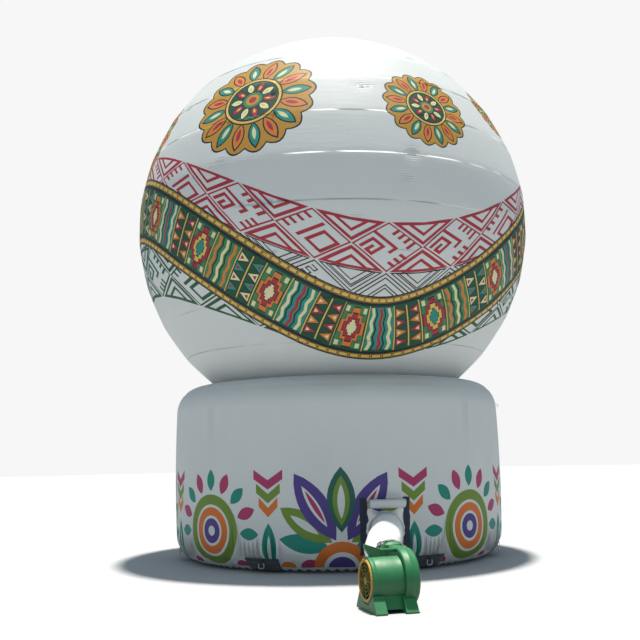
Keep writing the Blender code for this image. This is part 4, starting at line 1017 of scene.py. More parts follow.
def inlet_rim(reach):
    """Azimuth and w of a circle round the inlet, as seen straight from the front."""
    rim = []
    for i in range(HOLE_SIDES):
        turn = 2 * math.pi * i / HOLE_SIDES
        w = float(drum_w(INLET_HEIGHT + reach * math.sin(turn)))
        azimuth = math.degrees(math.asin((INLET.x + reach * math.cos(turn)) / float(drum_line(w)[0])))
        rim.append((azimuth, w))
    return rim


print("inlet at", [round(v, 2) for v in INLET])

# %% [markdown]
# The drum carries a bright frieze on white, one and a half metres to a figure: a lotus fan and a sun
# disc take turns, with stacked chevrons between them and small dark triangles along the foot. The
# figures are drawn in metres on the flat cloth, and plain white parts them.

# %% Drum frieze
FRIEZE_FIGURES = 8
FRIEZE_PITCH = 360 / FRIEZE_FIGURES
FRIEZE_FOOT = 0.10
FRIEZE_TOP = 1.27
METRE = math.degrees(1 / DRUM_RADIUS)


def lens(x, y, length, width, lean, steps=9):
    """A leaf shape from (x, y), leaning by degrees from upright, in metres."""
    outline = petal(0, length, width / 2, math.radians(90 - lean), steps)
    return [(x + a, y + b) for a, b in outline]


def half_disc(x, y, radius, lean, steps=14):
    """Half a disc whose flat side faces down when lean is 0."""
    turns = [math.radians(lean) + math.pi * i / steps for i in range(steps + 1)]
    return [(x + radius * math.cos(a), y + radius * math.sin(a)) for a in turns]


def lotus_fan():
    """Petals that fan out from the foot, with drops between them and half discs beside them."""
    shapes = []
    for side in (-1, 1):
        shapes += [
            ("lagoon", lens(side * 0.12, 0.44, 0.56, 0.20, side * 80)),
            ("olive", lens(side * 0.10, 0.50, 0.66, 0.25, side * 57)),
            ("purple", lens(side * 0.06, 0.52, 0.82, 0.30, side * 32)),
            ("ground", lens(side * 0.15, 0.66, 0.50, 0.10, side * 32)),
            ("raspberry", lens(side * 0.17, 0.70, 0.40, 0.05, side * 32)),
            ("ground", lens(side * 0.24, 0.585, 0.36, 0.08, side * 57)),
            ("raspberry", half_disc(side * 0.34, 0.20, 0.12, 0)),
            ("tangerine", half_disc(side * 0.60, 0.20, 0.09, 0)),
        ]
    shapes += [
        ("pine", lens(0, 0.60, 0.68, 0.30, 0)), ("olive", lens(0, 0.67, 0.52, 0.18, 0)),
        ("ground", lens(0, 0.74, 0.36, 0.08, 0)),
        ("tangerine", half_disc(0, 0.20, 0.31, 0)), ("ground", half_disc(0, 0.20, 0.20, 0)),
        ("purple", half_disc(0, 0.20, 0.15, 0)),
    ]
    return shapes


def sun_disc():
    """Rings about an eye, with rays over the upper half."""
    middle = 0.60
    shapes = []
    for i in range(9):
        lean = -92 + 23 * i
        a = math.radians(90 - lean)
        tone = ("lagoon", "raspberry")[i % 2]
        shapes.append((tone, lens(0.43 * math.cos(a), middle + 0.43 * math.sin(a), 0.24, 0.13, lean)))
    for ink, radius in (("olive", 0.395), ("ground", 0.285), ("tangerine", 0.255), ("ground", 0.165),
                        ("purple", 0.135), ("ground", 0.055)):
        shapes.append((ink, [(x, middle + y) for x, y in disc(radius, steps=40)]))
    for side in (-1, 1):
        shapes.append(("raspberry", half_disc(side * 0.40, 0.20, 0.09, 0)))
    return shapes


def chevrons():
    """Stacked open V shapes between two figures, over an upright leaf."""
    shapes = []
    for k, ink in enumerate(("raspberry", "olive", "tangerine")):
        y = FRIEZE_TOP - 0.07 - 0.145 * k
        reach = 0.17 - 0.03 * k
        upper = [(-reach, y + 0.06), (0, y - 0.05), (reach, y + 0.06)]
        lower = [(reach, y - 0.04), (0, y - 0.15), (-reach, y - 0.04)]
        shapes.append((ink, upper + lower))
    shapes += [("lagoon", lens(0, 0.20, 0.50, 0.17, 0)), ("ground", lens(0, 0.27, 0.30, 0.045, 0))]
    return shapes


def foot_triangles():
    """A short row of dark triangles along the foot."""
    return [("pine", [(x, FRIEZE_FOOT), (x + 0.05, FRIEZE_FOOT + 0.065), (x + 0.10, FRIEZE_FOOT)])
            for x in (-0.77 + 0.11 * i for i in range(14))]


# %% [markdown]
# Fans and suns take turns round the drum, with chevrons between them. The last outline is no ink but
# the inlet's hole, which the print cutter leaves open.

# %% Lay out the frieze
drum_print = []
for k in range(FRIEZE_FIGURES):
    azimuth = FRIEZE_PITCH * k
    placed = [(azimuth, shape) for shape in (lotus_fan() if k % 2 == 0 else sun_disc()) + foot_triangles()]
    placed += [(azimuth + FRIEZE_PITCH / 2, shape) for shape in chevrons()]
    for middle, (ink, outline) in placed:
        drum_print.append((ink, [(middle + x * METRE, y) for x, y in outline]))
drum_print.append(("hole", inlet_rim(TUBE_WALL_RADIUS)))
print("printed shapes on the drum:", len(drum_print))

# %% [markdown]
# The drum's skin is cut and sewn as the ball's was. Its rows lie closer on the two quarter arcs and
# beside the seams, where the cloth turns or dips.

# %% Sew the drum
DRUM_COLUMNS = 240
SEAM_ROW_STEPS = (-0.05, -0.025, -0.01, 0.01, 0.025, 0.05)
drum_rows = sorted({round(FOOT_LENGTH * i / 8, 4) for i in range(9)}
                   | {round(FOOT_LENGTH + WALL_HEIGHT * i / 12, 4) for i in range(13)}
                   | {round(DRUM_LENGTH - TOP_LENGTH * i / 10, 4) for i in range(11)}
                   | {round(seam + step, 4) for seam in DRUM_SEAMS for step in SEAM_ROW_STEPS}
                   | set(DRUM_SEAMS))
drum = printed_piece(
    "drum_skin", drum_print, DRUM_SEAMS, drum_rows, DRUM_COLUMNS, drum_surface, drum_flat,
    printed_polyester, stands_for=("drum_wall",), slot="white_coated_fabric",
)

# %% [markdown]
# A flat ring closes the drum's top up to the neck, where the ball is sewn on, and a welt of tape
# covers that seam. A grey disc of heavier cloth is the drum's floor.

# %% Drum top, neck welt and floor
RING_COLUMNS = 180
RING_ROWS = 9
top_radii = np.linspace(DRUM_RADIUS - TOP_ROUND, NECK_RADIUS - 0.015, RING_ROWS)
top_points = round_sheet(top_radii, np.full(RING_ROWS, DRUM_HEIGHT), RING_COLUMNS)
top_turn = np.arctan2(top_points[:, 0], -top_points[:, 1])
top_across = np.clip((np.hypot(top_points[:, 0], top_points[:, 1]) - NECK_RADIUS) / 0.18, 0, 1)
top_points[:, 2] += np.sin(math.pi * top_across) * (0.012 + 0.004 * np.sin(36 * top_turn))
top_cloth = np.stack([top_turn * NECK_RADIUS, np.hypot(top_points[:, 0], top_points[:, 1])], -1)
drum_top = piece("drum_top_ring", top_points, grid_faces(RING_ROWS, RING_COLUMNS, closed=True),
                 white_polyester, stands_for=("drum_top_panel",), slot="white_coated_fabric",
                 cloth=top_cloth)

WELT_RADIUS = 0.011
WELT_SIDES = 10
WELT_COLUMNS = 360
TAPE_STEP = 0.007
welt_turn = np.linspace(0, 2 * math.pi, WELT_COLUMNS, endpoint=False)
welt_rows = []
welt_cloth = []
for i in range(WELT_SIDES):
    lean = 2 * math.pi * i / WELT_SIDES
    bead = WELT_RADIUS * (1 + 0.10 * np.sin(90 * welt_turn))
    r = NECK_RADIUS + 0.016 + bead * math.cos(lean)
    z = DRUM_HEIGHT + 0.012 + bead * math.sin(lean)
    welt_rows.append(np.stack([r * np.sin(welt_turn), -r * np.cos(welt_turn), z], -1))
    welt_cloth.append(np.stack([welt_turn * NECK_RADIUS, np.full(WELT_COLUMNS, i * TAPE_STEP)], -1))
welt_faces = grid_faces(WELT_SIDES, WELT_COLUMNS, closed=True)
last_row = (WELT_SIDES - 1) * WELT_COLUMNS
for j in range(WELT_COLUMNS):
    k = (j + 1) % WELT_COLUMNS
    welt_faces.append((last_row + j, last_row + k, k, j))
piece("neck_welt", np.concatenate(welt_rows), welt_faces, white_webbing,
      stands_for=("neck_seam_tape",), slot="white_tape", cloth=np.concatenate(welt_cloth))

FLOOR_ROWS = 16
FLOOR_COLUMNS = 120
FLOOR_LIFT = 0.0006
floor_radii = np.linspace(DRUM_RADIUS - FOOT_ROUND, 0.01, FLOOR_ROWS)
floor_points = round_sheet(floor_radii, np.full(FLOOR_ROWS, FLOOR_LIFT), FLOOR_COLUMNS)
floor_points[:, 2] += 0.0003 * np.sin(floor_points[:, 0] * 9)
drum_floor = piece("drum_floor_disc", floor_points, grid_faces(FLOOR_ROWS, FLOOR_COLUMNS, closed=True),
                   grey_polyester, stands_for=("drum_floor_panel",), slot="grey_floor_fabric",
                   cloth=floor_points[:, :2])
print("neck:", round(2 * NECK_RADIUS, 2), "m across, floor:", round(2 * floor_radii[0], 2), "m across")

# %% [markdown]
# Patches, straps and strips are thick flat pieces that lie on the drum. One function makes a closed
# slab between two grids of points, and one more bends such a slab over the wall.

# %% Slabs and ribbons
def slab(outer, inner):
    """Points and faces of a closed slab between two grids of points."""
    rows, columns = outer.shape[:2]
    shift = rows * columns
    faces = grid_faces(rows, columns)
    faces += [tuple(shift + i for i in reversed(face)) for face in faces]
    rim = list(range(columns)) + [i * columns + columns - 1 for i in range(1, rows)]
    rim += [(rows - 1) * columns + j for j in range(columns - 2, -1, -1)]
    rim += [i * columns for i in range(rows - 2, 0, -1)]
    faces += [(b, a, a + shift, b + shift) for a, b in zip(rim, rim[1:] + rim[:1])]
    return np.concatenate([outer.reshape(-1, 3), inner.reshape(-1, 3)]), faces


SLAB_LIFT = 0.0006


def wall_slab(azimuth, low, high, left, right, thick, rows, columns):
    """A slab on the drum. left and right are its reach beside the azimuth: a number, or a function of
    t, which runs from 0 to 1 up the slab."""
    t = np.linspace(0, 1, rows)[:, None]
    s = np.linspace(0, 1, columns)[None, :]
    z = low + (high - low) * t
    w = drum_w(z) + 0 * s
    left, right = (reach(t) if callable(reach) else reach + 0 * t for reach in (left, right))
    across = -left + (left + right) * s
    turn = azimuth + np.degrees(across / DRUM_RADIUS)
    soft = (1 - np.abs(2 * s - 1) ** 6) * (1 - np.abs(2 * t - 1) ** 40)
    outer = drum_surface(turn, w, SLAB_LIFT + thick * (0.35 + 0.65 * soft))
    points, faces = slab(outer, drum_surface(turn, w, SLAB_LIFT))
    flat = np.stack([across + 0 * w, w], -1).reshape(-1, 2)
    return points, faces, np.concatenate([flat, flat])


def ribbon(path, across, thick, columns=3):
    """A strap along a path. across is half its width as a vector, the same all along."""
    path = np.asarray(path, float)
    across = np.asarray(across, float)
    run = np.gradient(path, axis=0)
    out = np.cross(run, across)
    out /= np.linalg.norm(out, axis=1)[:, None]
    s = np.linspace(-1, 1, columns)
    inner = path[:, None, :] + across[None, None, :] * s[None, :, None]
    outer = inner + out[:, None, :] * thick
    length = np.concatenate([[0], np.cumsum(np.linalg.norm(np.diff(path, axis=0), axis=1))])
    beside = s[None, :] * np.linalg.norm(across)
    flat = np.stack(np.broadcast_arrays(beside, length[:, None]), -1).reshape(-1, 2)
    points, faces = slab(outer, inner)
    return points, faces, np.concatenate([flat, flat])


# %% [markdown]
# A sewn part is often several slabs at once, such as a patch and its tab. They are joined before
# they are stored, and Blender then turns all their faces outward.

# %% Joining sewn parts
def joined(*parts):
    """Several (points, faces, cloth) as one."""
    points, faces, cloth = [], [], []
    for some, these, flat in parts:
        shift = sum(len(p) for p in points)
        points.append(np.asarray(some, float))
        cloth.append(np.asarray(flat, float))
        faces += [tuple(shift + i for i in face) for face in these]
    return np.concatenate(points), faces, np.concatenate(cloth)


def cloth_piece(name, made, mat, **facts):
    """A piece from (points, faces, cloth), with its faces turned outward."""
    obj = piece(name, made[0], made[1], mat, cloth=made[2], **facts)
    work = bmesh.new()
    work.from_mesh(obj.data)
    bmesh.ops.recalc_face_normals(work, faces=work.faces)
    work.to_mesh(obj.data)
    work.free()
    return obj


# %% [markdown]
# Seven navy patches on the foot's round carry a sewn tab with a steel ring each, for ground stakes.

# %% Ground anchors
ANCHOR_AZIMUTHS = [1.2 + 6 * step for step in (-4.5, 4.5, 12.5, 21.5, 29.5, 38.5, 46.5)]
ANCHOR_LOW = 0.006
ANCHOR_HIGH = 0.157
ANCHOR_HALF_WIDTH = 0.208
TAB_WIDTH = 0.040
TAB_THICK = 0.0022
# The sewn tab's line from its upper seam over the ring and back, as radius and height
TAB_LINE = [(1.9663, 0.150), (1.9793, 0.147), (1.9825, 0.138), (1.9829, 0.115), (1.9823, 0.101),
            (1.9736, 0.0965), (1.9663, 0.101), (1.9593, 0.116), (1.9483, 0.124)]


def upright_axes(azimuth):
    """Outward and sideways unit vectors at an azimuth."""
    a = math.radians(azimuth)
    return np.array([math.sin(a), -math.cos(a), 0.0]), np.array([math.cos(a), math.sin(a), 0.0])


anchor_names = []
for number, azimuth in enumerate(ANCHOR_AZIMUTHS, 1):
    patch = wall_slab(azimuth, ANCHOR_LOW, ANCHOR_HIGH, ANCHOR_HALF_WIDTH, ANCHOR_HALF_WIDTH, 0.004,
                      rows=12, columns=25)
    out, side = upright_axes(azimuth)
    tab_path = [out * r + np.array([0, 0, z]) for r, z in TAB_LINE]
    loop = ribbon(tab_path, side * TAB_WIDTH / 2, TAB_THICK)
    cloth_piece(f"anchor_patch_sewn_{number}", joined(patch, loop), navy_webbing,
                stands_for=(f"anchor_patch_{number}",), slot="navy_webbing")
    anchor_names.append(f"anchor_ring_{number}")
print("anchor rings kept:", anchor_names)

# %% [markdown]
# Three white plates high on the drum carry a standing loop each, for guy lines in wind.

# %% Tether tabs
TETHER_AZIMUTHS = [85.2, 175.2, 265.2]
TETHER_HEIGHT = 1.80
PLATE_HALF_WIDTH = 0.045
PLATE_HALF_HEIGHT = 0.065
LOOP_STEPS = 16
for number, azimuth in enumerate(TETHER_AZIMUTHS, 1):
    plate = wall_slab(azimuth, TETHER_HEIGHT - PLATE_HALF_HEIGHT, TETHER_HEIGHT + PLATE_HALF_HEIGHT,
                      PLATE_HALF_WIDTH, PLATE_HALF_WIDTH, 0.003, rows=14, columns=9)
    out, side = upright_axes(azimuth)
    r, z, nr, nz = (float(v) for v in drum_line(drum_w(TETHER_HEIGHT)))
    path = []
    for i in range(LOOP_STEPS + 1):
        turn = math.pi * i / LOOP_STEPS
        reach = 0.003 + 0.042 * math.sin(turn)
        rise = 0.0235 * math.cos(turn)
        path.append(out * (r + nr * reach - nz * rise) + np.array([0, 0, z + nz * reach + nr * rise]))
    loop = ribbon(path, side * 0.019, -0.003)
    cloth_piece(f"tether_tab_sewn_{number}", joined(plate, loop), white_webbing,
                stands_for=(f"tether_tab_{number}",), slot="white_tape")
print("tether tabs:", len(TETHER_AZIMUTHS))

# %% [markdown]
# A long zip up the drum's back lets the air out. Its teeth are drawn 8 mm apart, twice as coarse as
# real ones, so that they still read as teeth.

# %% Deflation zip
ZIP_AZIMUTH = 181.2
ZIP_LOW = 0.50
ZIP_HIGH = 1.45
ZIP_HALF_WIDTH = 0.030
TOOTH_PITCH = 0.008
TOOTH_SIZE = (0.0024, 0.006, 0.0042)


def block(middle, out, side, size):
    """Eight corners and six faces of a block: size is its reach out, sideways and up."""
    up = np.array([0, 0, 1.0])
    points = [middle + out * size[0] * i / 2 + side * size[1] * j / 2 + up * size[2] * k / 2
              for i in (-1, 1) for j in (-1, 1) for k in (-1, 1)]
    faces = [(0, 1, 3, 2), (4, 6, 7, 5), (0, 4, 5, 1), (2, 3, 7, 6), (0, 2, 6, 4), (1, 5, 7, 3)]
    return points, faces, [(0, 0)] * 8


zip_out, zip_side = upright_axes(ZIP_AZIMUTH)
tape = wall_slab(ZIP_AZIMUTH, ZIP_LOW, ZIP_HIGH, ZIP_HALF_WIDTH, ZIP_HALF_WIDTH, 0.0022,
                 rows=60, columns=7)
cloth_piece("zip_tape", tape, navy_webbing, stands_for=("deflation_zip",), slot="navy_webbing")
teeth = []
for i in range(int((ZIP_HIGH - ZIP_LOW - 0.02) / TOOTH_PITCH)):
    z = ZIP_LOW + 0.01 + i * TOOTH_PITCH
    w = float(drum_w(z))
    for sign in (-1, 1):
        place = drum_surface(ZIP_AZIMUTH, w, 0.0036) + zip_side * sign * 0.0022
        place = place + np.array([0, 0, 0.002 * sign])
        teeth.append(block(place, zip_out, zip_side, TOOTH_SIZE))
cloth_piece("zip_teeth", joined(*teeth), black_plastic, slot="navy_webbing")
print("zip teeth:", len(teeth))

# %% [markdown]
# Round the air inlet lie two dark fastener strips, a spare flap rolled up above it, and the tie that
# holds the roll. The flap is one sheet wound into a spiral, so both its ends show the turns.

# %% Fastener strips
STRIP_LOW = 0.19
STRIP_HIGH = 0.78
STRIP_AZIMUTHS = {"left": 7.2, "right": 19.2}
STRIP_REACH = {"left": (0.062, 0.013), "right": (0.013, 0.062)}


def ragged(reach, phase):
    """A strip's edge: its reach with small uneven waves."""
    return lambda t: reach * (1 + 0.05 * np.sin(19 * t + phase) + 0.03 * np.sin(43 * t + 2 * phase))


for name, azimuth in STRIP_AZIMUTHS.items():
    left, right = STRIP_REACH[name]
    strip = wall_slab(azimuth, STRIP_LOW, STRIP_HIGH, ragged(left, 1.0), ragged(right, 2.5), 0.0035,
                      rows=60, columns=9)
    cloth_piece(f"hook_strip_{name}", strip, navy_webbing, stands_for=(f"fastener_strip_{name}",),
                slot="navy_webbing")
print("fastener strips:", round(STRIP_HIGH - STRIP_LOW, 2), "m long")

# %% [markdown]
# The roll's spiral is a grid: one way runs along the roll, the other winds from a small core out to
# the full radius. Its middle is pinched where the tie holds it.

# %% Rolled flap
ROLL_RADIUS = 0.055
ROLL_LENGTH = 0.39
ROLL_HEIGHT = 0.72
ROLL_TURNS = 3.2
ROLL_CORE = 0.014
ROLL_ROWS = 150
ROLL_COLUMNS = 33
roll_out, roll_side = upright_axes(INLET_AZIMUTH)
roll_reach = float(drum_line(drum_w(ROLL_HEIGHT))[0]) + ROLL_RADIUS + 0.003
roll_middle = roll_out * roll_reach + np.array([0, 0, ROLL_HEIGHT])
turns = np.linspace(0, 2 * math.pi * ROLL_TURNS, ROLL_ROWS)[:, None]
along = np.linspace(-0.5, 0.5, ROLL_COLUMNS)[None, :]
pinched = 1 - 0.10 * np.exp(-(along / 0.05) ** 2) - 0.05 * np.abs(2 * along) ** 4
coil = ROLL_CORE + (ROLL_RADIUS - 0.001 - ROLL_CORE) * turns / turns[-1]
coil = coil * pinched * (1 + 0.03 * np.sin(5 * turns + 9 * along) * np.abs(along * 2))
up = np.array([0, 0, 1.0])
wound = turns - 0.6
roll_points = (roll_middle + roll_side * (ROLL_LENGTH * along + 0.006 * np.sin(turns))[..., None]
               + roll_out * (coil * np.cos(wound))[..., None] + up * (coil * np.sin(wound))[..., None])
roll_cloth = np.stack([ROLL_LENGTH * along + 0 * turns, coil * turns * 0.6], -1).reshape(-1, 2)
roll = piece("rolled_spare_flap", roll_points.reshape(-1, 3), grid_faces(ROLL_ROWS, ROLL_COLUMNS),
             white_polyester, stands_for=("rolled_flap",), slot="white_coated_fabric", cloth=roll_cloth)

tie_turn = np.linspace(0, 2 * math.pi, 49)
tie_reach = ROLL_RADIUS * 0.93
tie_path = [roll_middle + roll_out * tie_reach * math.cos(a) + up * tie_reach * math.sin(a)
            for a in tie_turn]
tie = [ribbon(tie_path, roll_side * 0.012, 0.0016)]
for lean in (0.55, 1.0):
    steps = np.linspace(0, 1, 13)[:, None]
    end_path = (roll_middle + up * (ROLL_RADIUS * 0.93 + 0.065 * steps * (2 - steps) / 2 * (1.5 - lean))
                + roll_side * 0.10 * steps * lean + roll_out * (0.012 + 0.010 * np.sin(3 * steps)))
    tie.append(ribbon(end_path, roll_out * 0.006 + up * 0.005, 0.0012))
cloth_piece("flap_tie_band", joined(*tie), white_polyester, stands_for=("flap_tie",), slot="white_tape")
print("rolled flap:", ROLL_TURNS, "turns")

# %% [markdown]
# The tube is the last of the cloth: a sleeve from the blower's round duct to the hole in the drum. Air
# keeps it round, but it is a little too long, so it folds on the inside of its bend and bunches up
# behind the strap. Its path leaves the duct along the blower's axis and meets the wall squarely.

# %% Blower frame and tube path
BLOWER_PLACE = np.array([0.33, -4.13, 0.0])
BLOWER_TURN = math.radians(16)
AXIS_HEIGHT = 0.235
DUCT_X = 0.1275
DUCT_Z = 0.3675
DUCT_ROUND_Y = 0.25
DUCT_END_Y = 0.33
TUBE_BLOWER_RADIUS = 0.149


def blower(points):
    """Points of the blower's own frame in the object's frame. Its intake faces -X, its outlet +Y."""
    points = np.asarray(points, float)
    c, s = math.cos(BLOWER_TURN), math.sin(BLOWER_TURN)
    turned = np.stack([points[..., 0] * c - points[..., 1] * s, points[..., 0] * s + points[..., 1] * c,
                       points[..., 2]], -1)
    return turned + BLOWER_PLACE


tube_start = blower((DUCT_X, DUCT_ROUND_Y + 0.006, DUCT_Z))
tube_leave = blower((DUCT_X, DUCT_END_Y + 0.02, DUCT_Z))
tube_arrive = np.array(INLET) - np.array([0, 0.12, 0])
tube_end = np.array(INLET) + np.array([0, 0.03, 0])
tube_pull = 0.7 * np.linalg.norm(tube_arrive - tube_leave)
tube_out = (tube_leave - tube_start) / np.linalg.norm(tube_leave - tube_start)


def tube_path(t):
    """The tube's axis for t from 0 at the duct to 1 at the wall."""
    near = 0.12
    far = 0.82
    if t < near:
        return tube_start + (tube_leave - tube_start) * t / near
    if t > far:
        return tube_arrive + (tube_end - tube_arrive) * (t - far) / (1 - far)
    u = (t - near) / (far - near)
    into = np.array([0, 1.0, 0])
    return ((2 * u ** 3 - 3 * u ** 2 + 1) * tube_leave + (u ** 3 - 2 * u ** 2 + u) * tube_pull * tube_out
            + (3 * u ** 2 - 2 * u ** 3) * tube_arrive + (u ** 3 - u ** 2) * tube_pull * into)


# %% [markdown]
# The tube's surface is a radius that changes along it and around it. Each effect is a term of its
# own: the slow widening, the pleats at the strap, the folds on the inside of the bend, a slight sag
# of the cloth, and the ruffled hem behind the blower's handle.

# %% Inflation tube
TUBE_ROWS = 110
TUBE_COLUMNS = 144
STRAP_T = 0.058
tube_t = np.linspace(0, 1, TUBE_ROWS)
tube_axis = np.array([tube_path(t) for t in tube_t])
tube_run = np.gradient(tube_axis, axis=0)
tube_run /= np.linalg.norm(tube_run, axis=1)[:, None]
tube_side = np.cross(tube_run, [0, 0, 1.0])
tube_side /= np.linalg.norm(tube_side, axis=1)[:, None]
tube_up = np.cross(tube_side, tube_run)
tube_length = np.concatenate([[0], np.cumsum(np.linalg.norm(np.diff(tube_axis, axis=0), axis=1))])
around = np.linspace(0, 2 * math.pi, TUBE_COLUMNS, endpoint=False)[None, :]
t = tube_t[:, None]
filled = np.clip((t - STRAP_T - 0.03) / 0.16, 0, 1)
filled = filled * filled * (3 - 2 * filled)
widening = np.clip((t - 0.10) / 0.90, 0, 1) ** 4
tube_growth = TUBE_WALL_RADIUS - 0.004 - TUBE_BLOWER_RADIUS
tube_radius = TUBE_BLOWER_RADIUS - 0.003 + tube_growth * widening + 0.006 * filled
bunch = np.exp(-((t - STRAP_T) / 0.085) ** 2)
at_strap = np.exp(-((t - STRAP_T) / 0.022) ** 2)
pleat_waves = np.abs(np.sin(11 * around + 1.3 * np.sin(3 * around))) - 0.7
pleats = 0.008 * (bunch - at_strap * 0.9) * pleat_waves
inside = np.clip(np.cos(around - math.radians(20)), 0, 1) ** 2
sleeve = np.clip((t - 0.14) / 0.05, 0, 1) * np.clip((0.80 - t) / 0.15, 0, 1)
fold_waves = np.abs(np.sin(math.pi * (t - 0.14) / 0.085 + 0.5 * np.sin(2 * around)))
folds = -0.009 * sleeve * inside * np.exp(-fold_waves * 3)
sag = 0.004 * sleeve * (np.sin(3 * around + 14 * t) + 0.6 * np.sin(5 * around - 23 * t))
hem = 0.006 * np.clip((0.02 - t) / 0.02, 0, 1) * (1 + np.sin(14 * around))
tube_r = tube_radius + pleats + folds + sag + hem
tube_points = (tube_axis[:, None, :] + tube_side[:, None, :] * (tube_r * np.cos(around))[..., None]
               + tube_up[:, None, :] * (tube_r * np.sin(around))[..., None])
tube_cloth = np.stack([around * TUBE_BLOWER_RADIUS + 0 * t, tube_length[:, None] + 0 * around], -1)
tube = piece("inflation_sleeve", tube_points.reshape(-1, 3),
             grid_faces(TUBE_ROWS, TUBE_COLUMNS, closed=True), tube_polyester,
             stands_for=("inflation_tube",), slot="white_coated_fabric",
             cloth=tube_cloth.reshape(-1, 2), smooth=60)
print("tube:", round(float(tube_length[-1]), 2), "m long")

# %% [markdown]
# Where the sleeve meets the wall it is sewn to a collar: a short skirt of white cloth round the hole,
# with two pointed gussets that reach up to the ends of the rolled flap.

# %% Inlet collar
COLLAR_OUT = 0.10
COLLAR_ROWS = 16
COLLAR_COLUMNS = 96
COLLAR_INNER = 0.182
flare_t = np.linspace(0, 1, COLLAR_ROWS)[:, None]
collar_turn = np.linspace(0, 2 * math.pi, COLLAR_COLUMNS, endpoint=False)[None, :]
gussets = sum(np.exp(-((collar_turn - math.radians(side)) / 0.20) ** 2) for side in (52, 128))
flare = flare_t ** 2.2
collar_reach = COLLAR_INNER + flare * (0.024 + 0.095 * gussets)
collar_x = INLET.x + collar_reach * np.cos(collar_turn) + flare * 0.004 * np.sin(17 * collar_turn)
pressed = np.where(np.sin(collar_turn) > 0, 0.93, 1.0)
collar_z = INLET_HEIGHT + collar_reach * np.sin(collar_turn) * pressed
collar_w = drum_w(np.clip(collar_z, 0.01, 2))
collar_r = drum_line(collar_w)[0]
wall_y = -np.sqrt(collar_r ** 2 - collar_x ** 2)
lift = (1 - flare_t) ** 1.5 * COLLAR_OUT + 0.003
lift = lift + np.sin(math.pi * flare_t) * 0.006 * np.sin(9 * collar_turn + 4 * flare_t)
collar_points = np.stack([collar_x, wall_y - lift, collar_z], -1).reshape(-1, 3)
collar_cloth = np.stack([collar_turn * 0.2 + 0 * flare_t, collar_reach + 0 * flare_t], -1).reshape(-1, 2)
collar = piece("inlet_collar", collar_points, grid_faces(COLLAR_ROWS, COLLAR_COLUMNS, closed=True),
               tube_polyester, slot="white_coated_fabric", cloth=collar_cloth, smooth=60)
print("collar reaches", round(float(collar_reach.max()), 2), "m from the inlet's middle")

# %% [markdown]
# A navy strap holds the tube on the blower's round duct. Its free tail lies over the first turn.

# %% Cinch strap
STRAP_WIDTH = 0.038
STRAP_INNER = TUBE_BLOWER_RADIUS + 0.0006
STRAP_Y = DUCT_ROUND_Y + 0.05
TAIL_START = math.radians(52)
TAIL_TURN = 0.055
TAIL_STEPS = 12


def round_duct(turns, reaches):
    """Points round the duct at the strap, from angles and their distances from its axis."""
    return blower([(DUCT_X + reach * math.cos(a), STRAP_Y, DUCT_Z + reach * math.sin(a))
                   for a, reach in zip(turns, reaches)])


strap_turn = np.linspace(0, 2 * math.pi, 97)
strap_path = round_duct(strap_turn, [STRAP_INNER] * len(strap_turn))
strap_half = blower((0, STRAP_WIDTH / 2, 0)) - blower((0, 0, 0))
tail_path = round_duct([TAIL_START - TAIL_TURN * i for i in range(TAIL_STEPS + 1)],
                       [STRAP_INNER + 0.005 + 0.018 * i / TAIL_STEPS for i in range(TAIL_STEPS + 1)])
strap = joined(ribbon(strap_path, strap_half, 0.0028), ribbon(tail_path, strap_half * 0.9, 0.002))
cloth_piece("cinch_strap_band", strap, navy_webbing, stands_for=("cinch_strap",), slot="navy_webbing")
print("strap:", round(2 * math.pi * STRAP_INNER, 2), "m round")

# %% [markdown]
# The blower is a moulded snail shell: a round barrel whose open end takes air in, and a scroll whose
# radius grows as it turns, so that the air leaves by a square mouth at the top. Its mould left soft
# edges, a raised rib along the parting line, and a ridge round the scroll's back.

# %% Turned and lofted plastic
BLOWER_COLUMNS = 96


def about_shaft(profile, columns=BLOWER_COLUMNS):
    """A closed turned piece about the blower's shaft, from its (x, radius) outline."""
    turns = np.linspace(0, 2 * math.pi, columns, endpoint=False)
    rows = [np.stack([np.full(columns, x), r * np.cos(turns), AXIS_HEIGHT + r * np.sin(turns)], -1)
            for x, r in profile]
    count = len(profile)
    faces = grid_faces(count, columns, closed=True)
    faces += [((count - 1) * columns + j, (count - 1) * columns + (j + 1) % columns, (j + 1) % columns, j)
              for j in range(columns)]
    return blower(np.concatenate(rows)), faces


def solid_piece(name, points, faces, mat, **facts):
    """A closed piece with its faces turned outward."""
    obj = piece(name, points, faces, mat, **facts)
    work = bmesh.new()
    work.from_mesh(obj.data)
    bmesh.ops.remove_doubles(work, verts=work.verts, dist=0.00005)
    bmesh.ops.recalc_face_normals(work, faces=work.faces)
    work.to_mesh(obj.data)
    work.free()
    return obj


# %% [markdown]
# The barrel is turned about the shaft from one outline, which rounds its front edge, leaves a shallow
# groove behind the intake and runs back into the scroll.

# %% Barrel
BARREL_RADIUS = 0.185
BARREL_FRONT = 0.195
EYE_RADIUS = 0.150
JOIN_X = 0.065
BARREL_EDGE = 0.014
EDGE_STEPS = 6
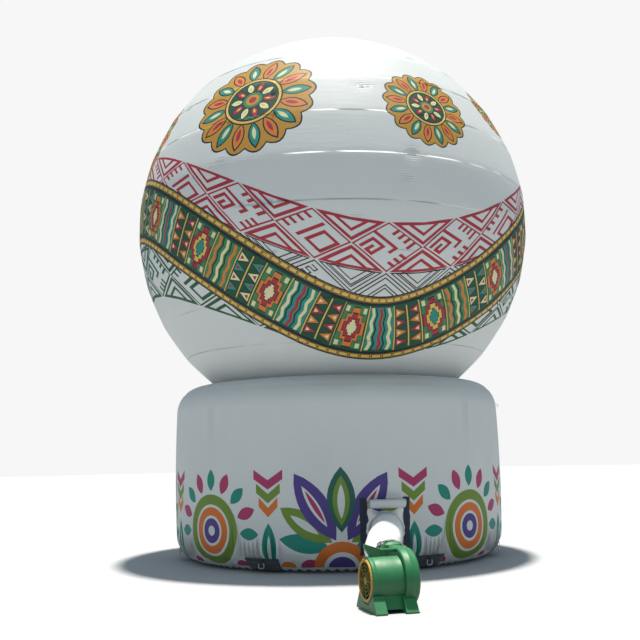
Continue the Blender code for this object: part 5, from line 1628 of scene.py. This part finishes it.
# Place along the shaft and the change of radius, from the groove back to the scroll
BARREL_BACK = [(-0.160, 0.0), (-0.156, -0.002), (-0.150, -0.002), (-0.146, 0.0), (0.0, 0.0), (0.050, 0.001),
               (JOIN_X, 0.004), (JOIN_X, -0.008), (0.015 - BARREL_FRONT, -0.008)]
front_edge = []
for i in range(EDGE_STEPS + 1):
    lean = math.pi / 2 * i / EDGE_STEPS
    front_edge.append((-BARREL_FRONT + BARREL_EDGE * (1 - math.sin(lean)),
                       BARREL_RADIUS - BARREL_EDGE * (1 - math.cos(lean))))
barrel_profile = [(-BARREL_FRONT, EYE_RADIUS)] + front_edge[::-1]
barrel_profile += [(x, BARREL_RADIUS + change) for x, change in BARREL_BACK]
barrel_profile.append((0.008 - BARREL_FRONT, EYE_RADIUS))
solid_piece("barrel_housing", *about_shaft(barrel_profile), green_plastic, stands_for=("blower_barrel",),
            slot="green_plastic")
print("barrel:", round(2 * BARREL_RADIUS, 2), "m across")

# %% [markdown]
# The scroll's outline is drawn once, and the shell is that outline again and again at places along
# the shaft, drawn in a little where the mould's edges are soft. The rows at the end make the raised
# ring and the hollow of the far side.

# %% Scroll
SCROLL_END = 0.19
SCROLL_START = 0.195
SCROLL_TOP = 0.245
SCROLL_SWEEP = math.radians(273)
SCROLL_FIRST = math.radians(3)
OUTLET_Y = 0.20
OUTLET_HEIGHT = 0.225
SCROLL_STEPS = 90


def scroll_outline():
    """The scroll's outline in (y, z) about its shaft: a growing arc, the mouth's top, and its lip."""
    outline = []
    for i in range(SCROLL_STEPS + 1):
        s = i / SCROLL_STEPS
        angle = SCROLL_FIRST - SCROLL_SWEEP * s
        r = SCROLL_START + (SCROLL_TOP - SCROLL_START) * s
        outline.append((r * math.cos(angle), r * math.sin(angle)))
    outline += [(OUTLET_Y * i / 6, SCROLL_TOP) for i in range(1, 7)]
    outline += [(OUTLET_Y, SCROLL_TOP - OUTLET_HEIGHT * i / 6) for i in range(1, 7)]
    return np.array(outline)


scroll_edge = scroll_outline()
scroll_run = np.roll(scroll_edge, -1, 0) - np.roll(scroll_edge, 1, 0)
scroll_out = np.stack([-scroll_run[:, 1], scroll_run[:, 0]], -1)
scroll_out /= np.linalg.norm(scroll_out, axis=1)[:, None]
# Rows of the shell: place along the shaft and how far the outline is drawn in, from the near face round
scroll_rows = [(JOIN_X, 0.020), (JOIN_X + 0.002, 0.010), (JOIN_X + 0.007, 0.004), (JOIN_X + 0.014, 0.001),
               (JOIN_X + 0.022, 0.0), (0.112, 0.0), (0.116, -0.0025), (0.124, -0.0025), (0.128, 0.0),
               (SCROLL_END - 0.030, 0.0), (SCROLL_END - 0.018, 0.002), (SCROLL_END - 0.008, 0.007),
               (SCROLL_END - 0.002, 0.014), (SCROLL_END, 0.024), (SCROLL_END, 0.034),
               (SCROLL_END - 0.006, 0.038)]
# Rows of the far side: the share of the outline that is left, and place along the shaft
far_rows = [(0.75, SCROLL_END - 0.006), (0.45, SCROLL_END - 0.006), (0.42, SCROLL_END),
            (0.30, SCROLL_END), (0.28, SCROLL_END - 0.004), (0.05, SCROLL_END - 0.004)]


def across_shaft(line, x):
    """An outline in (y, z) about the shaft as points at x along it."""
    return np.stack([np.full(len(line), x), line[:, 0], AXIS_HEIGHT + line[:, 1]], -1)


near_line = scroll_edge - scroll_out * 0.020
near_line = near_line * (EYE_RADIUS / np.linalg.norm(near_line, axis=1))[:, None]
far_line = scroll_edge - scroll_out * 0.038
shell = [across_shaft(near_line, JOIN_X + 0.001)]
shell += [across_shaft(scroll_edge - scroll_out * draw, x) for x, draw in scroll_rows]
shell += [across_shaft(far_line * share, x) for share, x in far_rows]
scroll_count = len(scroll_edge)
scroll_faces = grid_faces(len(shell), scroll_count, closed=True)
scroll_faces.append(tuple(range((len(shell) - 1) * scroll_count, len(shell) * scroll_count)))
solid_piece("scroll_housing", blower(np.concatenate(shell)), scroll_faces, green_plastic,
            stands_for=("blower_scroll",), slot="green_plastic")
print("scroll:", len(shell), "rows of", scroll_count, "points")

# %% [markdown]
# The outlet duct starts as the oblong of the scroll's mouth, with a raised flange, and blends to a
# round pipe for the tube. Each row is a mix of the two outlines.

# %% Outlet duct
DUCT_COLUMNS = 72
MOUTH_HALF_WIDTH = 0.0625
MOUTH_HALF_HEIGHT = 0.1125
PIPE_RADIUS = 0.1384
# Place along the outlet, the pipe's share of the outline, and how far the outline is moved outward
DUCT_ROWS = [
    (OUTLET_Y, 0.0, 0.004), (OUTLET_Y + 0.012, 0.0, 0.004), (OUTLET_Y + 0.016, 0.05, 0.0),
    (DUCT_ROUND_Y - 0.01, 0.9, 0.0), (DUCT_ROUND_Y, 1.0, 0.0), (DUCT_END_Y, 1.0, 0.0),
    (DUCT_END_Y, 1.0, -0.006), (DUCT_ROUND_Y, 1.0, -0.006), (OUTLET_Y, 0.0, -0.006),
]
duct_turn = np.linspace(0, 2 * math.pi, DUCT_COLUMNS, endpoint=False)
mouth = 1 / np.maximum(np.abs(np.cos(duct_turn)) / MOUTH_HALF_WIDTH,
                       np.abs(np.sin(duct_turn)) / MOUTH_HALF_HEIGHT)
duct_points = []
for y, share, grow in DUCT_ROWS:
    reach = share * PIPE_RADIUS + (1 - share) * mouth + grow
    duct_points.append(np.stack([DUCT_X + reach * np.cos(duct_turn), np.full(DUCT_COLUMNS, y),
                                 DUCT_Z + reach * np.sin(duct_turn)], -1))
solid_piece("outlet_duct_moulded", blower(np.concatenate(duct_points)),
            grid_faces(len(DUCT_ROWS), DUCT_COLUMNS, closed=True), green_plastic,
            stands_for=("outlet_duct",), slot="green_plastic")
print("duct:", round(DUCT_END_Y - OUTLET_Y, 2), "m long")

# %% [markdown]
# The small rigid solids of the frame already have their true shape. They are kept, and each gets the
# finish of what it is made of.

# %% Kept solids
KEPT_FINISHES = {
    "blower_base": green_plastic, "handle_ear": green_plastic, "handle_bar": green_plastic,
    "intake_ring": yellow_plastic, "intake_guard": olive_wire, "motor": motor_casting,
    "motor_spider": motor_casting, "impeller": black_plastic, "switch_box": black_plastic,
    "cable_gland": black_plastic, "zip_slider": plated_steel, "cinch_buckle": plated_steel,
    **{name: plated_steel for name in anchor_names},
}
for name, mat in KEPT_FINISHES.items():
    node = bpy.data.objects[name]
    node.data.materials.clear()
    node.data.materials.append(mat)
print("kept solids:", len(KEPT_FINISHES))
